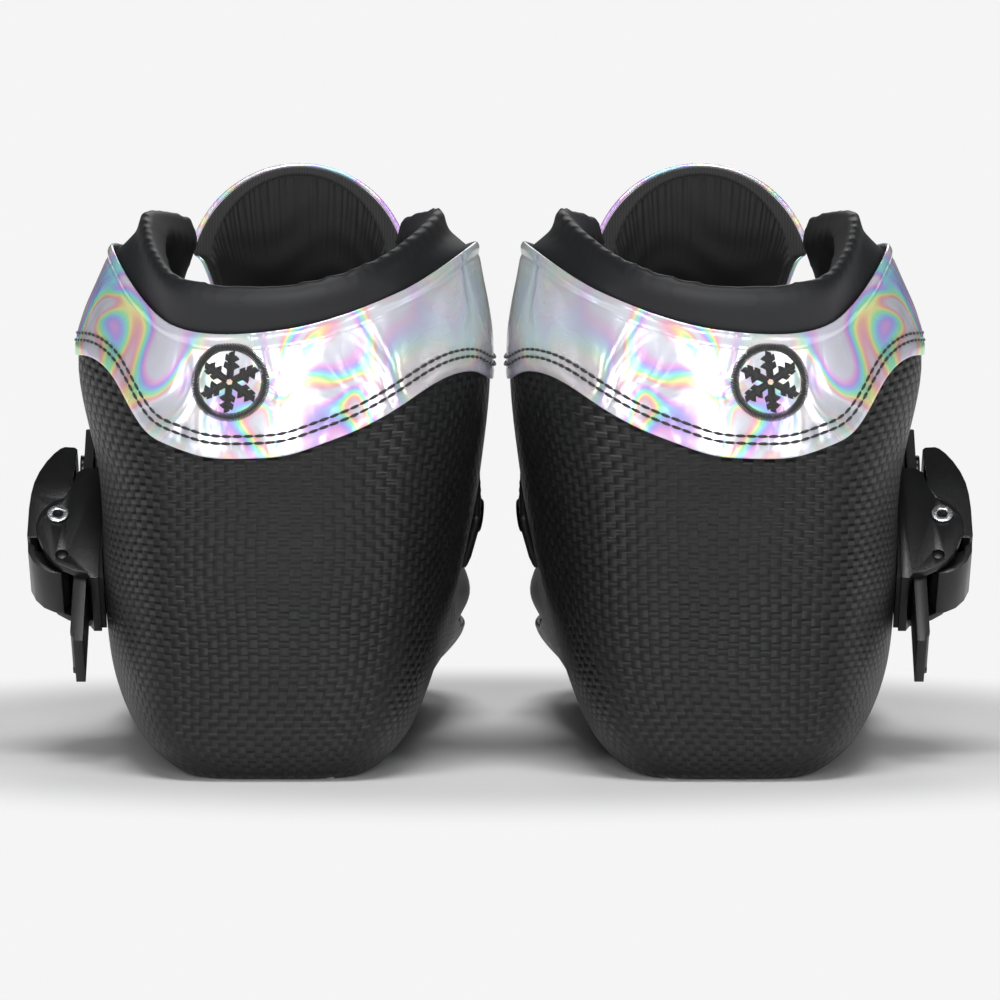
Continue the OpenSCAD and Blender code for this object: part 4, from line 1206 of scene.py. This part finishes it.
def tongue_points(k, a, depth):
    """Points of the tongue at rows k, places a across it from -1 to 1, and a depth under its face."""
    table = [np.array([np.ravel(row[i]) for row in TONGUE], float) for i in range(5)]
    j = np.clip(np.floor(k).astype(int), 0, len(TONGUE) - 2)
    t = (k - j)[..., None]

    def read(column):
        pick = [column[np.clip(j + d, 0, len(TONGUE) - 1)] for d in (-1, 0, 1, 2)]
        return spline(*pick, t)

    centre, out, half, rise, drop = (read(c) for c in table)
    out = unit(out)
    w = (a * TONGUE_BEND)[..., None]
    f = (1 - np.cos(w)) / (1 - np.cos(TONGUE_BEND))
    side = np.array([1.0, 0, 0])
    away = side * np.sin(w) + out * np.cos(w)
    return (centre + side * half * np.sin(w) / np.sin(TONGUE_BEND) - out * rise * f
            - np.array([0, 0, 1.0]) * drop * f - depth[..., None] * away)


class BOOTS_OT_tongue(bpy.types.Operator):
    """Make the tongues: silver face, pleated black lining and bound edge"""

    bl_idname = "boots.tongue"
    bl_label = "Tongue"

    def execute(self, context):
        thick = 4.0
        across = np.linspace(-1, 1, 161)
        up = np.linspace(0, len(TONGUE) - 1.0, 90)
        k, a = np.meshgrid(up, across, indexing="ij")
        near_top = np.clip((k - 5.2) / 1.6, 0, 1) ** 1.5
        bend = np.sin(a * 118 + 1.2 * np.sin(a * 31 + k)) * (0.6 + 0.4 * np.sin(a * 47 + 2 * k))
        below = 0.12 * np.sin(k * 9 + 3 * np.sin(a * 5)) * np.clip(1 - near_top, 0, 1)
        pleat = 0.30 * near_top * bend + below
        face = tongue_points(k, a, 0.9 + 0 * a)
        inside = tongue_points(k, a, thick - 0.4 + pleat)
        mesh = self.sheet(inside, tongue_points(k, a, 1.2 + 0 * a))
        both_boots("tongue_lining", mesh, finish_named("tongue"), ("tongue",))
        mesh = self.sheet(face, tongue_points(k, a, 0 * a + 0.1))
        both_boots("tongue_face", mesh, finish_named("silver"))
        self.binding(thick)
        return {"FINISHED"}

    def sheet(self, low, high):
        """A closed sheet between two grids of points."""
        rows, cols = low.shape[:2]
        points = np.concatenate([low.reshape(-1, 3), high.reshape(-1, 3)])
        n = rows * cols
        faces = []
        for r in range(rows - 1):
            for c in range(cols - 1):
                i = r * cols + c
                faces.append((i, i + 1, i + cols + 1, i + cols))
                faces.append((n + i, n + i + cols, n + i + cols + 1, n + i + 1))
        rim = ([c for c in range(cols)] + [r * cols + cols - 1 for r in range(1, rows)]
               + [(rows - 1) * cols + c for c in range(cols - 2, -1, -1)]
               + [r * cols for r in range(rows - 2, 0, -1)])
        for i, j in zip(rim, rim[1:] + rim[:1]):
            faces.append((j, i, n + i, n + j))
        return outward(mesh_of("tongue", points, faces))

    def binding(self, thick):
        """Tape folded over the tongue's top edge."""
        a = np.linspace(-1, 1, 121)
        top = len(TONGUE) - 1.0 + 0 * a
        edge = tongue_points(top, a, thick / 2 + 0 * a)
        below = tongue_points(top - 0.12, a, thick / 2 + 0 * a)
        up = unit(edge - below)
        out = unit(tongue_points(top, a, 0 * a) - edge)
        turn = np.linspace(0, 2 * np.pi, 14, endpoint=False)
        half = thick / 2 + 0.1
        sections = [edge + up * 0.1 + out * half * np.cos(w) + up * 1.3 * np.sin(w) for w in turn]
        mesh = outward(lofted("binding", np.stack(sections, 1)))
        both_boots("tongue_tape", mesh, finish_named("tape"), ("tongue_binding",))
        cord = [edge + up * (1.25 + 0.55 * np.sin(w)) + out * (half + 0.1 + 0.55 * np.cos(w)) for w in turn]
        mesh = outward(lofted("piping", np.stack(cord, 1)))
        both_boots("tongue_piping", mesh, finish_named("silver"))


# ---- Emblem
EMBLEM_X, EMBLEM_Z, EMBLEM_R = 13.0, 98.4, 10.0


def emblem_place():
    """Station and ring of the emblem's middle."""
    u, v = 0.36, 5.05
    for _ in range(8):
        p, (du, dv) = skin(u, v), slopes(np.array(u), np.array(v))
        det = du[0] * dv[2] - du[2] * dv[0]
        dx, dz = EMBLEM_X - p[0], EMBLEM_Z - p[2]
        u += (dx * dv[2] - dz * dv[0]) / det
        v += (du[0] * dz - du[2] * dx) / det
    return float(u), float(v)


class BOOTS_OT_emblem(bpy.types.Operator):
    """Embroider the round snow crystal badges"""

    bl_idname = "boots.emblem"
    bl_label = "Embroidered badge"

    def execute(self, context):
        u0, v0 = emblem_place()
        centre, (du, dv) = skin(u0, v0), slopes(np.array(u0), np.array(v0))
        out = facing(np.array(u0), np.array(v0))
        up = unit(dv)
        side = np.cross(up, out)
        flat = []          # x, y, direction x, direction y, length of each thread
        for q in np.linspace(0, 2 * np.pi, 150, endpoint=False):
            r = EMBLEM_R - 1.2
            flat.append((r * np.cos(q), r * np.sin(q), np.cos(q + 0.25), np.sin(q + 0.25), 2.6))
        for arm in range(6):
            q = np.pi / 6 + arm * np.pi / 3
            c, s = np.cos(q), np.sin(q)
            for r in np.arange(0.9, 7.6, 0.27):
                width = 2.5 if r < 6.2 else 2.0
                flat.append((r * c, r * s, -s + 0.4 * c, c + 0.4 * s, width))
            for r, reach in ((3.4, 1.9), (5.4, 1.6)):
                for w in (-1, 1):
                    b = q + w * np.pi / 3
                    for step in np.arange(0.5, reach, 0.27):
                        x, y = r * c + step * np.cos(b), r * s + step * np.sin(b)
                        flat.append((x, y, -np.sin(b) + 0.4 * np.cos(b), np.cos(b) + 0.4 * np.sin(b), 1.9))
        flat = np.array(flat)
        target = centre + flat[:, :1] * side + flat[:, 1:2] * up
        u, v = land(target, np.full(len(flat), u0), np.full(len(flat), v0))
        at, normal = over(u, v, TRIM[0] + 0.12), facing(u, v)
        along = flat[:, 2:3] * side + flat[:, 3:4] * up
        size = np.stack([flat[:, 4] / 2, 0.2 + 0 * u, 0.34 + 0 * u], -1)
        fibre = bpy.data.meshes.new("fibre")
        bm = bmesh.new()
        bmesh.ops.create_uvsphere(bm, u_segments=6, v_segments=5, radius=1)
        bm.to_mesh(fibre)
        bm.free()
        mesh = scattered(at, normal, along, size, fibre, finish_named("thread"))
        both_boots("embroidered_badge", mesh, None, ("emblem",))
        return {"FINISHED"}


# ---- Buckle
class BOOTS_OT_buckle(bpy.types.Operator):
    """Finish the ratchet buckles"""

    bl_idname = "boots.buckle"
    bl_label = "Ratchet buckle"

    def execute(self, context):
        plastic, steel, black = finish_named("buckle"), finish_named("steel"), finish_named("black_steel")
        softened(("buckle_base",), plastic, width=0.45)
        softened(("lever",), plastic, "lever_body", width=0.55, segments=4)
        softened(("release_lever",), plastic, "release_lever_body", width=0.5)
        softened(("ladder_strap",), finish_named("strap"), "ladder_body", width=0.18, segments=2)
        softened(("buckle_spacer",), finish_named("rubber"), width=0.1, segments=1)
        softened(("lever_pin",), steel, width=0.18)
        softened(("buckle_bolts", "release_pin", "strap_rivet", "strap_screw"), black,
                 width=0.2,
                 segments=2)
        softened(("drive_pin",), black, "lever_body", width=0.15, segments=2)
        softened(("drive_pawl",), black, "drive_pawl_body", width=0.2, segments=2)
        softened(("lever_spring", "release_spring"), black, subdivide=1)
        return {"FINISHED"}


# ---- Instep strap
STRAP_T, STRAP_W, STRAP_LIFT = 2.5, 19.0, 0.6


def strap_line(w):
    """Inside line of the instep strap at width w, as (x, s), from its inner end to its tail."""
    def side(s, guess):
        y = BUCKLE[1] + (s - w) * LEAN
        z = BUCKLE[2] + (s + w) * LEAN
        u, v = (np.full(len(s), g) for g in guess)
        for _ in range(8):
            p, (du, dv) = skin(u, v), slopes(u, v)
            det = du[:, 1] * dv[:, 2] - du[:, 2] * dv[:, 1]
            dy, dz = y - p[:, 1], z - p[:, 2]
            u, v = u + (dy * dv[:, 2] - dz * dv[:, 1]) / det, v + (du[:, 1] * dz - du[:, 2] * dy) / det
        return skin(u, v)[:, 0]

    rise = 85.2 - 0.15 * w
    tail = BUCKLE[0] + 0.4
    inner = np.arange(2.0, 63, 10)
    left = [(x - STRAP_LIFT, s) for x, s in zip(side(inner, (13.4, 3.1)), inner)]
    far = np.array([62.0, 57.0, 50.0])
    x = side(far, (2.45, 3.05))
    right = [(x[0] + STRAP_LIFT + 0.5, 62), (x[1] + STRAP_LIFT + 1.25, 57),
             ((x[2] + tail) / 2 + 0.4, 50), (tail - 1.2, 44),
             (tail - 0.2, 39), (tail, 34), (tail, 28), (tail, 21.5)]
    arch = [(-27, rise - 13), (-16, rise - 4.5), (-1, rise), (14, rise - 4), (25.7, rise - 12.3)]
    return np.array(left + arch + right)


def smooth_line(line, steps):
    """More points on the smooth curve through a line's points."""
    n = len(line)
    k = np.linspace(0, n - 1, (n - 1) * steps + 1)
    j = np.clip(np.floor(k).astype(int), 0, n - 2)
    pick = [line[np.clip(j + d, 0, n - 1)] for d in (-1, 0, 1, 2)]
    return spline(*pick, (k - j)[:, None])


class BOOTS_OT_strap(bpy.types.Operator):
    """Make the instep straps"""

    bl_idname = "boots.strap"
    bl_label = "Instep strap"

    def execute(self, context):
        widths = np.linspace(-1, 1, 15) * (STRAP_W / 2)
        lines = [smooth_line(strap_line(w), 6) for w in widths]
        low, high = [], []
        for w, line in zip(widths, lines):
            way = unit(np.gradient(line, axis=0))
            out = np.stack([-way[:, 1], way[:, 0]], 1)
            edge = 1 - abs(w) / (STRAP_W / 2)
            crown = STRAP_T - 0.7 + 0.7 * min(1.0, edge * 4) - 0.35 * np.exp(-((edge - 0.24) / 0.06) ** 2)
            for store, d in ((low, 0.15 * (1 - min(1.0, edge * 6))), (high, crown)):
                q = line + out * d
                store.append(np.stack([q[:, 0], BUCKLE[1] + (q[:, 1] - w) * LEAN,
                                       BUCKLE[2] + (q[:, 1] + w) * LEAN], 1))
        ring = np.concatenate([np.stack(high, 1), np.stack(low[::-1], 1)], 1)
        mesh = outward(lofted("strap", ring))
        both_boots("instep_strap_band", mesh, finish_named("strap"), ("instep_strap",))
        rows = [high[2][3:-4] , high[-3][3:-4]]
        mesh = stitches(rows, finish_named("thread"), 2.6, 2.2, 0.26)
        both_boots("instep_strap_sewing", mesh, None)
        return {"FINISHED"}


class BOOTS_OT_blocks(bpy.types.Operator):
    """Finish the threaded mounting blocks in the soles"""

    bl_idname = "boots.blocks"
    bl_label = "Mounting blocks"

    def execute(self, context):
        softened(("mount_block_front", "mount_block_rear"), finish_named("alloy"), width=0.3)
        return {"FINISHED"}


# ---- Stage
ROOM = 40.0             # metres from the boots to the end of the floor
FADE = (0.15, 0.24)      # the floor turns into the backdrop's tone between these distances
# Softboxes: name, place, width, height and power. They all face the heels.
SOFTBOXES = (
    ("overhead", (0.0, -0.9, 1.7), 0.8, 0.6, 17),
    ("back panel", (0.0, -2.6, 0.55), 0.45, 0.8, 26),
    ("left strip", (-1.3, -1.6, 0.5), 0.3, 1.1, 8),
    ("right strip", (1.3, -1.6, 0.5), 0.3, 1.1, 8),
    ("toe fill", (0.2, 2.2, 1.4), 1.2, 0.9, 10),
)


class BOOTS_OT_stage(bpy.types.Operator):
    """Set up the floor, the lights and the camera"""

    bl_idname = "boots.stage"
    bl_label = "Stage"

    def execute(self, context):
        scene, studio = context.scene, context.scene.boot_studio
        self.floor(studio)
        self.backdrop(studio)
        world = bpy.data.worlds.new("studio")
        scene.world = world
        world.use_nodes = True
        back = world.node_tree.nodes["Background"]
        back.inputs[0].default_value = (1, 1, 1, 1)
        back.inputs[1].default_value = studio.fill
        heel = Vector((0, -BOOT_Y * MM, studio.aim_height))
        for name, place, width, height, power in SOFTBOXES:
            data = bpy.data.lights.new(name, "AREA")
            data.shape = "RECTANGLE"
            data.size, data.size_y, data.energy = width, height, power
            lamp = bpy.data.objects.new(name, data)
            lamp.location = place
            lamp.rotation_euler = (heel - Vector(place)).to_track_quat("-Z", "Y").to_euler()
            scene.collection.objects.link(lamp)
        data = bpy.data.cameras.new("camera")
        data.lens, data.sensor_width = studio.lens, 36
        data.clip_start, data.clip_end = 0.05, 50
        camera = bpy.data.objects.new("camera", data)
        away = Vector((0, -np.cos(studio.elevation), np.sin(studio.elevation)))
        camera.location = heel + away * studio.distance
        camera.rotation_euler = (-away).to_track_quat("-Z", "Y").to_euler()
        scene.collection.objects.link(camera)
        scene.camera = camera
        scene.view_settings.view_transform = "Standard"
        return {"FINISHED"}

    def floor(self, studio):
        """A pale floor that fades into the backdrop's tone away from the boots."""
        ground, t, bsdf = shader("studio floor", tuple(studio.ground), 0.7, Specular_IOR_Level=0.1)
        far = t.add("ShaderNodeEmission", Color=(*studio.backdrop, 1), Strength=1.0)
        reach = t.add("ShaderNodeVectorMath", {"operation": "LENGTH"}, out="Value", i0=place_of(t))
        fade = t.add("ShaderNodeMapRange", {"interpolation_type": "SMOOTHSTEP"}, Value=reach,
                     i1=FADE[0], i2=FADE[1])
        mix = t.add("ShaderNodeMixShader", i0=fade, i1=bsdf.outputs[0], i2=far)
        t.tree.links.new(mix, t.tree.nodes["Material Output"].inputs["Surface"])
        self.staged("studio_floor", [(x * ROOM, y * ROOM, 0) for x, y in ((-1, -1), (1, -1), (1, 1),
                                                                          (-1, 1))],
                    [(0, 1, 2, 3)], ground)

    def backdrop(self, studio):
        """A plain dome of one tone that is seen but throws no light."""
        tone = bpy.data.materials.new("studio backdrop")
        tone.use_nodes = True
        t = Tree(tone.node_tree)
        glow = t.add("ShaderNodeEmission", Color=(*studio.backdrop, 1), Strength=1.0)
        t.tree.links.new(glow, tone.node_tree.nodes["Material Output"].inputs["Surface"])
        bm = bmesh.new()
        bmesh.ops.create_icosphere(bm, subdivisions=3, radius=ROOM * 0.95)
        mesh = bpy.data.meshes.new("dome")
        bm.to_mesh(mesh)
        bm.free()
        dome = linked("studio_backdrop", mesh)
        mesh.materials.append(tone)
        dome.visible_diffuse = dome.visible_glossy = dome.visible_transmission = dome.visible_shadow = False

    def staged(self, name, points, faces, material):
        mesh = bpy.data.meshes.new(name)
        mesh.from_pydata(points, [], faces)
        mesh.materials.append(material)
        linked(name, mesh)


STEPS = (BOOTS_OT_stage, BOOTS_OT_shell, BOOTS_OT_trim, BOOTS_OT_upper, BOOTS_OT_collar, BOOTS_OT_lining,
         BOOTS_OT_tongue, BOOTS_OT_emblem, BOOTS_OT_buckle, BOOTS_OT_strap, BOOTS_OT_blocks)


class BOOTS_PT_panel(bpy.types.Panel):
    """Sizes, colours and steps of the boots"""

    bl_idname = "BOOTS_PT_panel"
    bl_label = "Speed skating boots"
    bl_space_type = "VIEW_3D"
    bl_region_type = "UI"
    bl_category = "Boots"

    def draw(self, context):
        for group in (context.scene.boot_looks, context.scene.boot_sewing, context.scene.boot_studio):
            box = self.layout.box()
            for key in group.__annotations__:
                box.prop(group, key)
        for step in STEPS:
            self.layout.operator(step.bl_idname)


GROUPS = (("boot_looks", BootLooks), ("boot_sewing", BootSewing), ("boot_studio", BootStudio))
CLASSES = (BootLooks, BootSewing, BootStudio, *STEPS, BOOTS_PT_panel)


def register():
    for item in CLASSES:
        bpy.utils.register_class(item)
    for name, group in GROUPS:
        setattr(bpy.types.Scene, name, bpy.props.PointerProperty(type=group))


def unregister():
    for name, _ in GROUPS:
        delattr(bpy.types.Scene, name)
    for item in reversed(CLASSES):
        bpy.utils.unregister_class(item)


def main():
    register()
    for step in STEPS:
        group, name = step.bl_idname.split(".")
        getattr(getattr(bpy.ops, group), name)()


if __name__ == "__main__":
    main()
